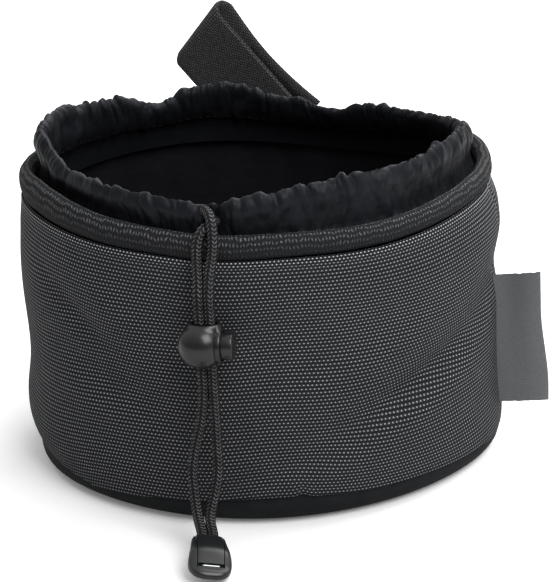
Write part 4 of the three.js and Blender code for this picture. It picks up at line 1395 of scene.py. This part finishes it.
def make_strap_flap():
    """The flap behind the leg, from the fold down."""
    downs = evenly(FLAP_LENGTH, FLAP_ROWS)
    rows = tape_rows(flap_point, downs, STRAP_SECTION)
    spread = strip(2 * STRAP_WIDTH, len(STRAP_SECTION), [STRAP_FOLD + down for down in downs])
    flap = solid("strap_flap_webbing", rows, strap_finish, spread)
    downwards = STRAP_OUT.cross(SLANTED_ACROSS).normalized()
    start = flap_point(0, 0, 0) + downwards * 0.2
    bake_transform(flap)
    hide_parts("strap_flap")


def make_tapes():
    """Hook tape on the flap and loop tape on the leg, which hold the strap closed."""
    section = flat_section(TAPE_HALF_WIDTH, TAPE_HALF_THICKNESS, 12)
    stand = STRAP_THICKNESS / 2 + TAPE_SEAT + TAPE_HALF_THICKNESS
    lengths = evenly(TAPE_LENGTH, TAPE_ROWS)
    downs = [TAPE_LOW - length for length in lengths]
    hook_rows = tape_rows(flap_point, downs, section, -stand)
    loop_rows = tape_rows(leg_point, [STRAP_FOLD - down for down in downs], section, stand)
    spread = strip(TAPE_HALF_WIDTH * 4, len(section), lengths)
    fit(solid("hook_pad", hook_rows, hook_finish, spread), "strap_end", "hook_tape", "hook_tape")
    fit(solid("loop_pad", loop_rows, loop_finish, spread), "strap", "loop_tape", "loop_tape")


def make_strap_stitches():
    """The stitched box that holds the tab, and the seam along the leg's right edge."""
    face = STRAP_MIDDLE + STRAP_THICKNESS / 2
    corners = [(-12, 67), (12, 67), (12, 78.5), (-12, 78.5), (-12, 67), (12, 78.5)]
    box = []
    for start, stop in zip(corners, corners[1:]):
        for share in evenly(1, 20)[:-1]:
            aside = start[0] + (stop[0] - start[0]) * share
            box.append(Vector((aside, face, start[1] + (stop[1] - start[1]) * share)))
    box.append(Vector((corners[-1][0], face, corners[-1][1])))
    tab = stitch_row("tab_stitches", box, pale_thread_finish, length=2.2, gap=0.7, radius=0.3)
    fit(tab, "bag", "strap_webbing")
    edge = [leg_point(STRAP_FOLD - 52 + far, 14.1, -STRAP_THICKNESS / 2) for far in evenly(51, 60)]
    seam = stitch_row("edge_stitches", edge, pale_thread_finish, length=1.5, gap=0.6, radius=0.2)
    fit(seam, "strap", "strap_webbing")


make_strap_leg()
make_strap_flap()
make_tapes()
make_strap_stitches()


# Solids that keep their own shape get their real finish
def dress_solid(node, material):
    """Gives a solid of the frame a finish."""
    piece = bpy.data.objects[node]
    piece.data.materials.clear()
    piece.data.materials.append(material)


dress_solid("base_board", board_finish)
dress_solid("cord_lock_spring", steel_finish)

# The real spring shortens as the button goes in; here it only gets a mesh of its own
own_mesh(bpy.data.objects["cord_lock_spring"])

# Points of both strands' lines in metres, worked out and not kept
[tuple(point * MM) for point in right_line]
[tuple(point * MM) for point in left_line]


# Floor and light
def make_floor():
    """Plain pale floor that keeps the bag's shadow."""
    mesh = bpy.data.meshes.new("floor")
    half = 6.0
    corners = [(-half, -half, 0), (half, -half, 0), (half, half, 0), (-half, half, 0)]
    mesh.from_pydata(corners, [], [(0, 1, 2, 3)])
    mesh.materials.append(floor_finish)
    floor = bpy.data.objects.new("floor", mesh)
    bpy.context.scene.collection.objects.link(floor)


def make_lamp(name, place, size, power):
    """A soft square lamp that looks at the bag; its place and size are in metres."""
    data = bpy.data.lights.new(name, "AREA")
    data.size = size
    data.energy = power
    lamp = bpy.data.objects.new(name, data)
    lamp.location = place
    lamp.rotation_mode = "QUATERNION"
    lamp.rotation_quaternion = (Vector(place) - CAMERA_TARGET * MM).to_track_quat("Z", "Y")
    bpy.context.scene.collection.objects.link(lamp)


def set_world():
    """White surroundings, bright behind and above and dim in front; the camera sees plain white."""
    world = bpy.data.worlds.new("studio")
    bpy.context.scene.world = world
    world.use_nodes = True
    tree = world.node_tree
    tree.nodes.clear()
    place = add_node(tree, "ShaderNodeTexCoord").outputs["Generated"]
    toward = vector_maths(tree, "DOT_PRODUCT", place, (0, 0.35, 0.6))["Value"]
    sky = ranged(tree, toward, (-0.2, 0.7), (0.1, 1))
    seen = add_node(tree, "ShaderNodeLightPath").outputs["Is Camera Ray"]
    level = ranged(tree, seen, result=(sky, 1))
    light = add_node(tree, "ShaderNodeBackground", {"Color": linear("#ffffff"), "Strength": level})
    add_node(tree, "ShaderNodeOutputWorld", {"Surface": light.outputs[0]})


make_floor()
make_lamp("top_lamp", place=(0.5, 0.75, 1.2), size=1.2, power=18)
make_lamp("right_fill", place=(1.0, -1.0, 1.5), size=1.2, power=25)
set_world()
bpy.context.scene.view_settings.view_transform = "Standard"
